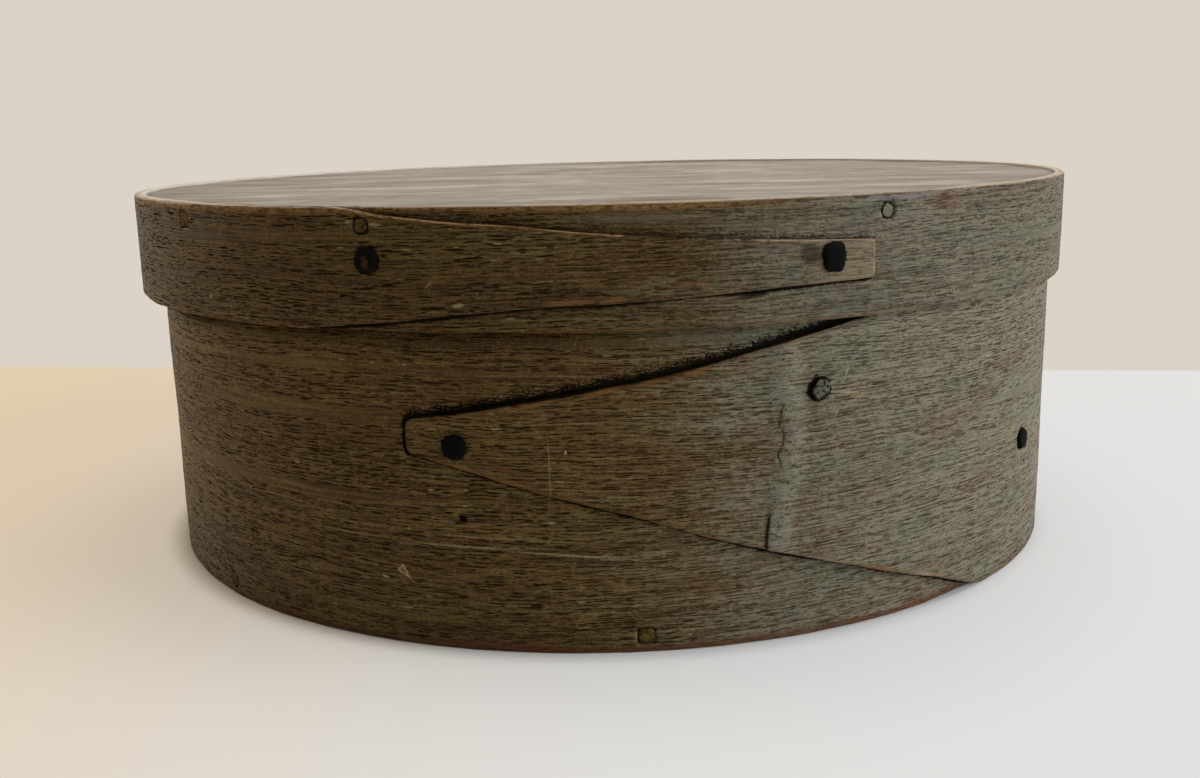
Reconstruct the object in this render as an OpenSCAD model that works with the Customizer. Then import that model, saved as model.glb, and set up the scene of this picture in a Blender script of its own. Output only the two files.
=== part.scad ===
// Round bentwood pantry box with a lift-off lid.
// Each band is one thin oak strip bent round a pine board. The strip's outer end is a tapered finger
// that laps over the strip's own start and is held by iron tacks clinched on the inside.
// Wooden pegs driven through the bands hold the boards by their edges.
// Millimetres and degrees. The origin is the middle of the underside, and the front faces -Y.
// Angles run round the box from its front, positive towards +X.
// The lid's finger points the other way, so the lid is a mirror image and its angles run towards -X.

/* [Base] */
// Outside diameter of the base where its band is one layer thick
base_d = 202; // [160:1:260]
// Height of the base band
base_h = 72.5; // [60:0.5:110]
// Thickness of the base band
base_wall = 2.1; // [1.6:0.1:3]
// Thickness of the bottom board
bottom_t = 6; // [4:0.5:10]

/* [Base finger] */
// Thickness of the lapped layer of the base
base_lap_t = 1.8; // [1.5:0.1:2.4]
// Thickness of the base finger at its tip
base_tip_t = 1.1; // [0.8:0.1:1.4]
// Angle of the nose of the base finger
base_tip_a = -19.8; // [-35:0.1:-5]
// Height of the nose of the base finger above the underside
base_tip_z = 38.7; // [25:0.1:45]
// Height of the blunt end of the base finger
base_tip_h = 6.7; // [4:0.1:12]
// How far the nose of the base finger stands ahead of the corners of its end
base_nose = 1.6; // [0.5:0.1:3]
// Angle where the upper edge of the base finger runs out at the top of the band
base_upper_root_a = 79; // [60:1:84]
// Angle where the lower edge of the base finger runs out at the bottom of the band
base_lower_root_a = 47; // [30:1:60]
// Angle of the crease where the lapped layer has cracked
crease_a = 16.3; // [5:0.1:25]
// How far the lapped layer steps down at the crease
crease_step = 0.4; // [0.2:0.1:0.6]

/* [Lid] */
// Height of the lid band
lid_h = 20.8; // [16:0.1:40]
// Thickness of the lid band
lid_wall = 1.9; // [1.4:0.1:3]
// Thickness of the top board
top_t = 5.4; // [4:0.1:9]
// How far the top board lies below the rim
top_recess = 0.4; // [0.2:0.1:1.5]

/* [Lid finger] */
// Thickness of the lapped layer of the lid
lid_lap_t = 1.5; // [1.2:0.1:2.2]
// Thickness of the lid finger at its tip
lid_tip_t = 1.1; // [0.7:0.1:1.2]
// Angle of the nose of the lid finger
lid_tip_a = -25.6; // [-40:0.1:-10]
// Distance of the nose of the lid finger below the top board
lid_tip_drop = 5; // [4:0.1:6]
// Height of the blunt end of the lid finger
lid_tip_h = 6.5; // [4:0.1:8]
// How far the nose of the lid finger stands ahead of the corners of its end
lid_nose = 0.5; // [0.2:0.1:2]
// Angle where the upper edge of the lid finger runs out at the rim
lid_upper_root_a = 27; // [20:1:34]
// Angle where the lower edge of the lid finger runs out at the lid's lower edge
lid_lower_root_a = 29; // [20:1:34]

/* [Tacks] */
// Diameter of a tack's head
tack_head_d = 4.3; // [3:0.1:6]
// Height of a tack's head
tack_head_h = 0.9; // [0.6:0.1:1.5]
// Thickness of a tack's shank under the head
tack_shank_d = 1.5; // [1.2:0.1:2]
// Length of the point that is bent over on the inside
clinch_l = 3; // [2:0.1:4]
// Distance along the base from the nose of its finger to the tip tack
base_tip_tack_in = 9.2; // [6:0.1:16]
// Distance of the base's tip tack below the nose
base_tip_tack_drop = 1.4; // [-2:0.1:2]
// Angle of the base's middle tack
middle_tack_a = 21; // [10:0.5:30]
// Distance of the base's middle tack below the top of the band
middle_tack_drop = 27.1; // [22:0.1:35]
// Angle of the base's root tack
root_tack_a = 55.7; // [50:0.1:70]
// Height of the base's root tack above the underside
root_tack_z = 25.7; // [15:0.1:40]
// Distance along the lid from the nose of its finger to the tip tack
lid_tip_tack_in = 8.3; // [5:0.1:14]
// Distance of the lid's tip tack above the nose
lid_tip_tack_rise = 0.8; // [-1:0.1:1]
// Angle of the lid's heel tack
heel_tack_a = 21.3; // [10:0.1:30]
// Distance of the lid's heel tack below the top board
heel_tack_drop = 3; // [2.5:0.1:6]

/* [Pegs] */
// Diameter of the wooden pegs
peg_d = 2.8; // [2:0.1:3.6]
// Length of the wooden pegs
peg_l = 11; // [8:0.5:20]
// Number of pegs round the bottom board
bottom_pegs = 7; // [5:1:10]
// Angle of the first bottom peg
bottom_peg_a = 3.6; // [-10:0.1:20]
// Number of pegs that go round the top board in equal steps
top_pegs = 7; // [5:1:7]
// Angle of the first top peg
top_peg_a = -27.5; // [-40:0.1:-27]
// Angle from one top peg to the next
top_peg_step = 49.3; // [45:0.1:51]
// Angle of the odd top peg that was added between two others
odd_peg_a = 46.1; // [36:0.1:56]

/* [Fits] */
// Gap between the two layers of a lap
lap_gap = 0.1; // [0.05:0.05:0.3]
// Play between the lid and the lapped part of the base
lid_play = 0.35; // [0.3:0.05:1]
// Gap between a board's edge and its band
board_gap = 0.1; // [0.05:0.05:0.4]
// Play round a tack or peg in its hole
hole_play = 0.03; // [0.02:0.01:0.1]

/* [Hidden] */
$fn = 96;
// Angle from the roots of a finger's edges to where the scarf under the lap begins
scarf_lead = 3;
// Angle over which the hidden start of a strip is shaved down
scarf_span = 16;
// Angle cut off the shaved start, which leaves it a blunt edge
start_trim = 3;
// Angle over which the lapped layer comes down to the ring again
ramp_span = 56;
// Angle and length by which shapes run past what they cut or join
overrun_a = 0.5;
overrun = 2;
// Angles from which the outlines of the fingers are drawn square on
base_view_a = 20;
lid_view_a = 45;
// Share of a tack head's height that is its straight rim
head_rim_share = 0.3;
// Thickness of a tack at its bend, at the knuckle there and at its point
tack_bend_d = 1;
tack_knuckle_d = 1.1;
tack_point_d = 0.24;
// How far a tack stands out inside before it bends, and how far the bent point leans back to the wall
tack_stand = 0.75;
clinch_lean = 8;

base_r = base_d / 2;
base_in_r = base_r - base_wall;
lid_in_r = base_r + lap_gap + base_lap_t + lid_play;
lid_r = lid_in_r + lid_wall;
lid_z = base_h + top_t + top_recess - lid_h;
// Height of the top board's underside above the lid's lower edge
top_z = base_h - lid_z;

// A strip, laid out in the order of the functions below that read it
base_strip = [
    base_r, base_wall, base_h, base_lap_t, base_tip_t, crease_step, crease_a,
    base_tip_a, base_tip_z, base_tip_h, base_nose, base_upper_root_a, base_lower_root_a, base_view_a];
lid_strip = [
    lid_r, lid_wall, lid_h, lid_lap_t, lid_tip_t, 0, 0,
    lid_tip_a, top_z - lid_tip_drop, lid_tip_h, lid_nose, lid_upper_root_a, lid_lower_root_a, lid_view_a];
// Radius of the ring, thickness and height of the strip
function ring_r(s) = s[0];
function wall(s) = s[1];
function height(s) = s[2];
// Thickness of the lapped layer at its root and at its tip, and depth and angle of a step down in it
function lap_t(s) = s[3];
function tip_t(s) = s[4];
function step_t(s) = s[5];
function step_a(s) = s[6];
// The finger's end: angle, height above the strip's lower edge, own height, length of the nose
function tip_a(s) = s[7];
function tip_z(s) = s[8];
function tip_h(s) = s[9];
function nose(s) = s[10];
// Angles where the finger's edges run out, and the angle from which its outline is drawn square on
function upper_root_a(s) = s[11];
function lower_root_a(s) = s[12];
function view_a(s) = s[13];

// Angles of the pegs, and places of the tacks as [angle, height above the strip's lower edge]
bottom_peg_angles = [for (i = [0:bottom_pegs - 1]) bottom_peg_a + i * 360 / bottom_pegs];
top_peg_angles = concat([for (i = [0:top_pegs - 1]) top_peg_a + i * top_peg_step], [odd_peg_a]);
base_tip_tack_at = [
    base_tip_a + arc_angle(base_tip_tack_in, lap_r(base_strip)), base_tip_z - base_tip_tack_drop];
middle_tack_at = [middle_tack_a, base_h - middle_tack_drop];
root_tack_at = [root_tack_a, root_tack_z];
lid_tip_tack_at = [
    lid_tip_a + arc_angle(lid_tip_tack_in, lap_r(lid_strip)), tip_z(lid_strip) + lid_tip_tack_rise];
heel_tack_at = [heel_tack_a, top_z - heel_tack_drop];
bottom_peg_z = bottom_t / 2;
top_peg_z = top_z + top_t / 2;

oak_colour = "#5f5b48";
pine_colour = "#6b5f52";
iron_colour = "#22211f";
peg_colour = "#7a7258";

// Direction of an angle, and the point at that angle on a ring
function unit(a) = [sin(a), -cos(a)];
function on_ring(r, a) = r * unit(a);
// Angle that an arc of a given length spans
function arc_angle(length, r) = length / r * 180 / PI;
// Centre of the circle of radius r through p and q, on the origin's side of them
function arc_centre(p, q, r) =
    let (d = q - p, c = norm(d), m = (p + q) / 2, n = [-d[1], d[0]] * sqrt(r * r - c * c / 4) / c)
    norm(m + n) < norm(m - n) ? m + n : m - n;
// Distance from the origin, along an angle, to a circle of radius r round a centre
function reach(centre, r, a) =
    let (along = centre * unit(a)) along + sqrt(r * r - centre * centre + along * along);

// Radius of the lapped layer's outer face, and the angles where the scarf begins and the lap has ended
function lap_r(s) = ring_r(s) + lap_gap + lap_t(s);
function scarf_a(s) = max(upper_root_a(s), lower_root_a(s)) + scarf_lead;
function lap_end_a(s) = scarf_a(s) + ramp_span;
// Centres of the arcs of the lapped layer's outer face, of the ramp down to the ring and of the scarf
function lap_centre(s) =
    let (tip = on_ring(ring_r(s) + lap_gap + tip_t(s) + step_t(s), tip_a(s)))
    arc_centre(tip, on_ring(lap_r(s), scarf_a(s)), lap_r(s));
function ramp_centre(s) =
    arc_centre(on_ring(lap_r(s), scarf_a(s)), on_ring(ring_r(s), lap_end_a(s)), lap_r(s));
function scarf_centre(s) =
    let (start = on_ring(ring_r(s) - wall(s), scarf_a(s) + scarf_span))
    arc_centre(on_ring(ring_r(s), scarf_a(s)), start, ring_r(s));

// The finger's outline as it is seen square on: sideways place of an angle and of the corners of the end,
// and heights of its two edges at an angle
function view_x(s, a) = lap_r(s) * sin(a - view_a(s));
function corner_x(s) = view_x(s, tip_a(s)) + nose(s) * cos(tip_a(s) - view_a(s));
function upper_z(s, a) =
    lookup(view_x(s, a), [[corner_x(s), tip_z(s) + tip_h(s) / 2], [view_x(s, upper_root_a(s)), height(s)]]);
function lower_z(s, a) =
    lookup(view_x(s, a), [[corner_x(s), tip_z(s) - tip_h(s) / 2], [view_x(s, lower_root_a(s)), 0]]);
// Radius of the strip's outermost face at an angle and height
function skin_r(s, a, z) =
    a < tip_a(s) || a > lap_end_a(s) || z < lower_z(s, a) || z > upper_z(s, a) ? ring_r(s)
    : a < scarf_a(s) ? reach(lap_centre(s), lap_r(s) - (a < step_a(s) ? step_t(s) : 0), a)
    : reach(ramp_centre(s), lap_r(s), a);

// Flat wedge between two angles, reaching well past a strip
module sector(s, from, to) {
    steps = ceil((to - from) / 30);
    polygon(concat([[0, 0]], [for (i = [0:steps]) on_ring(2 * ring_r(s), from + (to - from) * i / steps)]));
}

// Sets its children at an angle, radius and height, with their Z axis pointing in towards the box's axis
module radial(a, r, z) {
    rotate([0, 0, a]) translate([0, -r, z]) rotate([-90, 0, 0]) children();
}

// Flat ring of the width of the gap between layers, just outside radius r
module gap_ring(r) {
    difference() {
        circle(r + lap_gap);
        circle(r);
    }
}

// Plan of a bent strip: a ring, the layer lapped over it, and the thin slit that parts the two.
// The slit follows the ring under the finger, then runs in along the scarf to the inside.
module strip_plan(s) {
    scarf_end_a = scarf_a(s) + scarf_span;
    difference() {
        union() {
            circle(ring_r(s));
            intersection() {
                translate(lap_centre(s)) circle(lap_r(s));
                sector(s, tip_a(s), scarf_a(s) + overrun_a);
            }
            intersection() {
                translate(ramp_centre(s)) circle(lap_r(s));
                sector(s, scarf_a(s) + overrun_a / 2, lap_end_a(s) + overrun_a);
            }
        }
        circle(ring_r(s) - wall(s));
        intersection() {
            gap_ring(ring_r(s));
            sector(s, tip_a(s) - overrun_a, scarf_a(s) + overrun_a);
        }
        intersection() {
            translate(scarf_centre(s)) gap_ring(ring_r(s));
            sector(s, scarf_a(s) - overrun_a, scarf_end_a + start_trim);
        }
        intersection() {
            translate(scarf_centre(s)) circle(ring_r(s) + lap_gap / 2);
            sector(s, scarf_end_a - start_trim, scarf_end_a + start_trim);
        }
        if (step_t(s) > 0) difference() {
            sector(s, tip_a(s) - overrun_a, step_a(s));
            translate(lap_centre(s)) circle(lap_r(s) - step_t(s));
        }
    }
}

// Outline of a finger seen square on: a blunt nose that widens in straight lines to the strip's two edges,
// and the whole strip beyond them
module finger_outline(s) {
    upper_x = view_x(s, upper_root_a(s));
    lower_x = view_x(s, lower_root_a(s));
    far_x = lap_r(s) + overrun;
    polygon([
        [view_x(s, tip_a(s)), tip_z(s)], [corner_x(s), tip_z(s) + tip_h(s) / 2],
        [upper_x, height(s)], [upper_x, height(s) + overrun], [far_x, height(s) + overrun],
        [far_x, -overrun], [lower_x, -overrun], [lower_x, 0], [corner_x(s), tip_z(s) - tip_h(s) / 2]
    ]);
}

// A bent strip standing on its lower edge, with its lapped layer cut to its finger
module bent_strip(s) {
    difference() {
        linear_extrude(height(s)) strip_plan(s);
        difference() {
            translate([0, 0, -overrun / 2]) linear_extrude(height(s) + overrun) intersection() {
                difference() {
                    circle(lap_r(s) + overrun);
                    circle(ring_r(s) + lap_gap / 2);
                }
                sector(s, tip_a(s) - overrun_a, scarf_a(s));
            }
            rotate([0, 0, view_a(s)]) rotate([90, 0, 0]) linear_extrude(2 * ring_r(s)) finger_outline(s);
        }
    }
}

// Hole for a tack's shank through both layers of a strip
module tack_hole(s, at) {
    radial(at[0], lap_r(s) + overrun, at[1])
        cylinder(d = tack_shank_d + 2 * hole_play, h = lap_r(s) - ring_r(s) + wall(s) + 2 * overrun);
}

// Iron tack: a low domed head, a tapering shank and a point bent over against the inside
module tack(s, at) {
    dome_h = (1 - head_rim_share) * tack_head_h;
    dome_r = (dome_h * dome_h + tack_head_d * tack_head_d / 4) / (2 * dome_h);
    skin = skin_r(s, at[0], at[1]);
    shank_l = skin - ring_r(s) + wall(s) + tack_stand;
    color(iron_colour) radial(at[0], skin, at[1]) {
        rotate_extrude() intersection() {
            translate([0, dome_r - tack_head_h]) circle(dome_r);
            translate([0, -tack_head_h]) square([tack_head_d / 2, tack_head_h]);
        }
        cylinder(d1 = tack_shank_d, d2 = tack_bend_d, h = shank_l);
        translate([0, 0, shank_l]) {
            sphere(d = tack_knuckle_d);
            rotate([-90 - clinch_lean, 0, 0]) cylinder(d1 = tack_bend_d, d2 = tack_point_d, h = clinch_l);
        }
    }
}

// Hole for a peg, through a strip and into the edge of its board
module peg_hole(s, a, z) {
    radial(a, skin_r(s, a, z) + overrun, z)
        cylinder(d = peg_d + 2 * hole_play, h = overrun + peg_l + hole_play);
}

// Wooden peg, flush with the skin of its strip
module peg(s, a, z) {
    color(peg_colour) radial(a, skin_r(s, a, z), z) cylinder(d = peg_d, h = peg_l);
}

// Puts what is drawn as a strip with its finger to the left on the lid's place, with its finger to the right
module on_lid() {
    translate([0, 0, lid_z]) mirror([1, 0, 0]) children();
}

module base_band() {
    color(oak_colour) difference() {
        bent_strip(base_strip);
        for (at = [base_tip_tack_at, middle_tack_at, root_tack_at]) tack_hole(base_strip, at);
        for (a = bottom_peg_angles) peg_hole(base_strip, a, bottom_peg_z);
    }
}

module bottom_board() {
    color(pine_colour) difference() {
        cylinder(r = base_in_r - board_gap, h = bottom_t);
        for (a = bottom_peg_angles) peg_hole(base_strip, a, bottom_peg_z);
    }
}

module base_tip_tack() {
    tack(base_strip, base_tip_tack_at);
}

module base_middle_tack() {
    tack(base_strip, middle_tack_at);
}

module base_root_tack() {
    tack(base_strip, root_tack_at);
}

module bottom_peg(a) {
    peg(base_strip, a, bottom_peg_z);
}

module lid_band() {
    color(oak_colour) on_lid() difference() {
        bent_strip(lid_strip);
        for (at = [lid_tip_tack_at, heel_tack_at]) tack_hole(lid_strip, at);
        for (a = top_peg_angles) peg_hole(lid_strip, a, top_peg_z);
    }
}

module top_board() {
    color(pine_colour) on_lid() difference() {
        translate([0, 0, top_z]) cylinder(r = lid_in_r - board_gap, h = top_t);
        for (a = top_peg_angles) peg_hole(lid_strip, a, top_peg_z);
    }
}

module lid_tip_tack() {
    on_lid() tack(lid_strip, lid_tip_tack_at);
}

module lid_heel_tack() {
    on_lid() tack(lid_strip, heel_tack_at);
}

module lid_peg(a) {
    on_lid() peg(lid_strip, a, top_peg_z);
}

base_band();
bottom_board();
base_tip_tack();
base_middle_tack();
base_root_tack();
lid_band();
top_board();
lid_tip_tack();
lid_heel_tack();
for (i = [1:len(bottom_peg_angles)])
    bottom_peg(bottom_peg_angles[i - 1]);
for (i = [1:len(top_peg_angles)])
    lid_peg(top_peg_angles[i - 1]);
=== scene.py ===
"""The finished look of a round bentwood pantry box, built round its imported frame.

Two painted oak strips, each bent round a pine board and lapped over itself in a tapered finger, with iron
tacks through the laps and wooden pegs into the boards. Metres and radians, unless a name says otherwise.
The front of the box faces -Y, and angles run round it from the front, positive towards +X.
"""

import functools
import math

import bpy
import numpy as np
from mathutils import Matrix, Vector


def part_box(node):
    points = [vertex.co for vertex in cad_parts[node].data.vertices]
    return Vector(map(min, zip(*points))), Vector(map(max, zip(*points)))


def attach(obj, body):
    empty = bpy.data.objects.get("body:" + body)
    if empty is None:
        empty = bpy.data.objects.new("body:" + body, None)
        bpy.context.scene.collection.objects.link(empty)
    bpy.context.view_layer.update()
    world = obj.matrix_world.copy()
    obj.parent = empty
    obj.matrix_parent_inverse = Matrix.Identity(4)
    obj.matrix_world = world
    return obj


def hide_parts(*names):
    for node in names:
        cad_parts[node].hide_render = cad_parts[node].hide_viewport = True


bl_info = {
    "name": "Bentwood Pantry Box",
    "version": (1, 0, 0),
    "blender": (4, 5, 0),
    "location": "3D View > Sidebar > Pantry Box",
    "description": "Dresses the pantry box: worn painted oak strips, pine boards, iron tacks and pegs",
    "category": "Object",
}

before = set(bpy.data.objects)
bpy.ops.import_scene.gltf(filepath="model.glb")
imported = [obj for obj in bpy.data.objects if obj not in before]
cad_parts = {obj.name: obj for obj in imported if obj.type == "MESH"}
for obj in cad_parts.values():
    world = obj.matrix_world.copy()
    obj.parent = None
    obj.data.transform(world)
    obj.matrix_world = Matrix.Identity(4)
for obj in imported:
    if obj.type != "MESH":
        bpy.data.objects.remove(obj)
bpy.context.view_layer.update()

MM = 0.001
TAU = 2 * math.pi
PHOTO_WIDTH = 1200

base_low, base_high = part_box("base_band")
lid_low, lid_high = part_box("lid_band")
bottom_low, bottom_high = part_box("bottom_board")
top_low, top_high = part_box("top_board")


# Settings that a user may change

def length(name, description, mm):
    """A length property, given in millimetres and kept in metres."""
    return bpy.props.FloatProperty(
        name=name, description=description, default=mm * MM, unit="LENGTH", precision=5)


def angle(name, description, degrees):
    """An angle property, given in degrees and kept in radians."""
    return bpy.props.FloatProperty(
        name=name, description=description, default=math.radians(degrees), subtype="ANGLE")


def share(name, description, default, high=1.0):
    """A plain factor."""
    return bpy.props.FloatProperty(
        name=name, description=description, default=default, min=0, max=high, subtype="FACTOR")


def power(name, description, watts):
    """A lamp's power."""
    return bpy.props.FloatProperty(name=name, description=description, default=watts, min=0, unit="POWER")


def colour(name, description, default):
    """A linear colour."""
    return bpy.props.FloatVectorProperty(
        name=name, description=description, default=default, size=3, min=0, max=1, subtype="COLOR")


# Sizes that both strips have: kind of property, name, description
STRIP_SIZES = {
    "ring_radius": (length, "Ring radius", "Outside of the strip where it is one layer"),
    "board_radius": (length, "Board radius", "Radius of the board inside"),
    "low_edge": (length, "Lower edge", "Height of the strip's lower edge"),
    "height": (length, "Height", "Height of the strip"),
    "lap_thickness": (length, "Lap thickness", "Thickness of the lapped layer at its root"),
    "tip_thickness": (length, "Tip thickness", "Thickness of the finger at its nose"),
    "step": (length, "Crease step", "How far the lapped layer steps down at its crease"),
    "crease_angle": (angle, "Crease angle", "Place of the crease in the lapped layer"),
    "nose_angle": (angle, "Nose angle", "Place of the finger's nose"),
    "nose_height": (length, "Nose height", "Height of the nose above the lower edge"),
    "end_height": (length, "End height", "Height of the finger's blunt end"),
    "nose_length": (length, "Nose length", "How far the nose stands ahead of the end's corners"),
    "upper_root": (angle, "Upper root", "Where the finger's upper edge runs out"),
    "lower_root": (angle, "Lower root", "Where the finger's lower edge runs out"),
    "view_angle": (angle, "View angle", "Angle from which the finger's edges are straight"),
    "peg_height": (length, "Peg height", "Height of the pegs above the lower edge"),
}


def strip_sizes(**defaults):
    """The properties of a strip's sizes, with that strip's defaults in mm and degrees."""
    return {
        key: kind(name, description, defaults[key])
        for key, (kind, name, description) in STRIP_SIZES.items()}


class PantryBaseStrip(bpy.types.PropertyGroup):
    """Sizes of the base's strip"""

    __annotations__ = strip_sizes(
        ring_radius=-base_low.x / MM, board_radius=bottom_high.x / MM, low_edge=base_low.z / MM,
        height=(base_high.z - base_low.z) / MM, lap_thickness=1.8, tip_thickness=1.1, step=0.4,
        crease_angle=16.3, nose_angle=-19.8, nose_height=38.7, end_height=6.7, nose_length=1.6,
        upper_root=79, lower_root=47, view_angle=20, peg_height=3.0)


class PantryLidStrip(bpy.types.PropertyGroup):
    """Sizes of the lid's strip, whose finger points the other way, so that its angles run towards -X"""

    __annotations__ = strip_sizes(
        ring_radius=lid_high.x / MM, board_radius=top_high.x / MM, low_edge=lid_low.z / MM,
        height=(lid_high.z - lid_low.z) / MM, lap_thickness=1.5, tip_thickness=1.1, step=0,
        crease_angle=0, nose_angle=-25.6, nose_height=10.0, end_height=6.5, nose_length=0.5,
        upper_root=27, lower_root=29, view_angle=45, peg_height=17.7)


class PantryFittings(bpy.types.PropertyGroup):
    """Sizes of the tacks and pegs"""

    head_diameter: length("Head diameter", "Diameter of a tack's head", 4.3)
    head_height: length("Head height", "Height of a tack's head", 0.9)
    shank_diameter: length("Shank diameter", "Thickness of a tack under its head", 1.5)
    bend_diameter: length("Bend diameter", "Thickness of a tack at its bend", 1.0)
    stand: length("Stand", "How far a tack stands out inside before it bends", 0.75)
    clinch: length("Clinch", "Length of the bent point", 3.0)
    clinch_lean: angle("Clinch lean", "How far the bent point leans back to the wall", 8)
    peg_diameter: length("Peg diameter", "Diameter of a wooden peg", 2.8)
    peg_length: length("Peg length", "Length of a wooden peg", 11.0)


class PantryFinish(bpy.types.PropertyGroup):
    """Colours of the finishes"""

    paint: colour("Paint", "Grey-green paint where it is whole", (0.146, 0.118, 0.050))
    # The pale paint towards the right is a painted sheen of the light from that side; under the lid's rim it
    # also gives pale patches of paint
    pale_paint: colour("Pale paint", "Faded paint towards the right", (0.200, 0.172, 0.121))
    green_paint: colour("Green paint", "Greener patches of the faded paint", (0.168, 0.174, 0.120))
    # The whole lid's colour is scaled darker by this share
    lid_shade: share("Lid shade", "How much of the brightness the lid's darker paint keeps", 0.78)
    # A painted bluish highlight on the lid's band under its rim
    bloom: colour("Bloom", "Bluish bloom on the paint under the rim", (0.170, 0.155, 0.190))
    thin_paint: colour("Thin paint", "Olive paint rubbed thin", (0.134, 0.087, 0.022))
    oak: colour("Oak", "Brown oak showing through the paint", (0.104, 0.058, 0.018))
    dark_oak: colour("Dark oak", "Dark streaks of the oak", (0.042, 0.021, 0.006))
    pore: colour("Pore", "Dirt in the open pores", (0.021, 0.011, 0.004))
    worn_edge: colour("Worn edge", "Reddish wood on rubbed edges", (0.110, 0.042, 0.016))
    rubbed_edge: colour("Rubbed edge", "Orange wood where edges are rubbed most", (0.205, 0.092, 0.030))
    golden_wood: colour("Golden wood", "Wood worn bare under the lid's rim", (0.285, 0.165, 0.058))
    # Pale bare wood, also used for painted highlights on the fingers' edges and ends
    bare_rim: colour("Bare rim", "Pale wood along the rims", (0.385, 0.265, 0.165))
    # A painted highlight for the inner wall just under the rims, which lightens its shade
    inner_rim_highlight: colour("Pale edge", "Wood rubbed palest, inside the rims", (0.620, 0.560, 0.480))
    flake: colour("Flake", "Pale scratches and chips", (0.370, 0.295, 0.155))
    # Also a painted highlight where the crease's lip catches the light
    chalk: colour("Chalk", "Grey-green paint rubbed on the crease", (0.205, 0.207, 0.154))
    # This black is dirt, and also painted shade in gaps, in holes and under the lid
    soot: colour("Soot", "Black dirt along the laps", (0.006, 0.005, 0.004))
    inside_oak: colour("Inside oak", "Unpainted oak inside", (0.215, 0.130, 0.066))
    pine: colour("Pine", "Aged pine of the boards", (0.270, 0.240, 0.202))
    # The darker pine is also laid as painted shade on the boards
    pine_line: colour("Pine line", "Darker growth lines of the pine", (0.140, 0.116, 0.088))
    pale_pine: colour("Pale pine", "Scoured streaks of the pine", (0.400, 0.370, 0.325))
    iron: colour("Iron", "Blackened iron", (0.004, 0.004, 0.004))
    rust: colour("Rust", "Rust in the iron", (0.026, 0.013, 0.007))


class PantryStage(bpy.types.PropertyGroup):
    """Camera, lights and floor"""

    camera_distance: length("Camera distance", "Distance of the camera in front of the box's axis", 303.8)
    camera_height: length("Camera height", "Height of the camera", 91.0)
    pitch: angle("Pitch", "How far the camera looks down", 12.15)
    roll: angle("Roll", "How far the camera leans to its right", 1.42)
    yaw: angle("Yaw", "How far the camera looks to its right", -0.21)
    focal_pixels: bpy.props.FloatProperty(
        name="Focal length", description="Focal length in pixels of the 1200 pixel wide picture",
        default=1244.0, subtype="PIXEL")
    wall_line: length("Wall line", "Distance behind the axis where the floor meets the backdrop", 153.5)
    wall_turn: angle("Wall turn", "How far the wall line turns towards the camera at the right", 8.0)
    floor_colour: colour("Floor", "Pale floor", (0.765, 0.785, 0.815))
    # The warm floor colours are a painted pool of warm light from the left
    warm_lit_floor: colour("Warm floor", "Floor towards the left", (0.91, 0.73, 0.48))
    glow: colour("Glow", "Level of the floor where it is seen", (0.735, 0.728, 0.712))
    warm_lit_glow: colour("Warm glow", "Level of the floor towards the left", (0.715, 0.585, 0.420))
    glow_share: share("Glow share", "How much of the seen floor is its level and not its shading", 0.62)
    contact_radius: length("Contact radius", "Within this the floor keeps all of the box's shadow", 100.0)
    clear_radius: length("Clear radius", "Beyond this the floor shows its level", 107.0)
    backdrop: colour("Backdrop", "Cream backdrop", (0.715, 0.650, 0.575))
    top_power: power("Top light", "Power of the broad light overhead", 13.0)
    key_power: power("Key light", "Power of the soft light at the right", 11.0)
    warm_power: power("Warm light", "Power of the warm light behind the left", 2.4)
    ambient: share("Ambient", "Strength of the light from all round", 0.09)
    ambient_colour: colour("Ambient colour", "Tint of the light from all round", (1.0, 0.86, 0.66))


# Where the pieces and their marks go, by the name of the frame's node or of the strip

# Boards: strip, lowest and highest corner, seed of the unevenness, turn of the grain in degrees
BOARDS = {
    "bottom_board": ("base", bottom_low, bottom_high, 31, 12),
    "top_board": ("lid", top_low, top_high, 41, 2),
}
# Tacks: strip, angle in degrees, height above the strip's lower edge in mm, finish, outline of the head
# (sideways and upright stretch, squareness, lean in degrees, unevenness, seed)
TACKS = {
    "base_tip_tack": ("base", -14.68, 37.3, "iron", (1.02, 1.00, 2.2, 0, 0.026, 1)),
    "base_middle_tack": ("base", 21.0, 45.4, "painted_iron", (0.84, 1.06, 1.8, 33, 0.016, 2)),
    "base_root_tack": ("base", 55.7, 25.7, "iron", (1.00, 1.02, 2.2, 0, 0.024, 3)),
    "lid_tip_tack": ("lid", 21.15, 10.8, "iron", (0.93, 1.16, 3.4, 0, 0.016, 4)),
    "lid_heel_tack": ("lid", -21.3, 12.0, "iron", (0.98, 1.08, 2.4, 0, 0.030, 5)),
}
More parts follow.
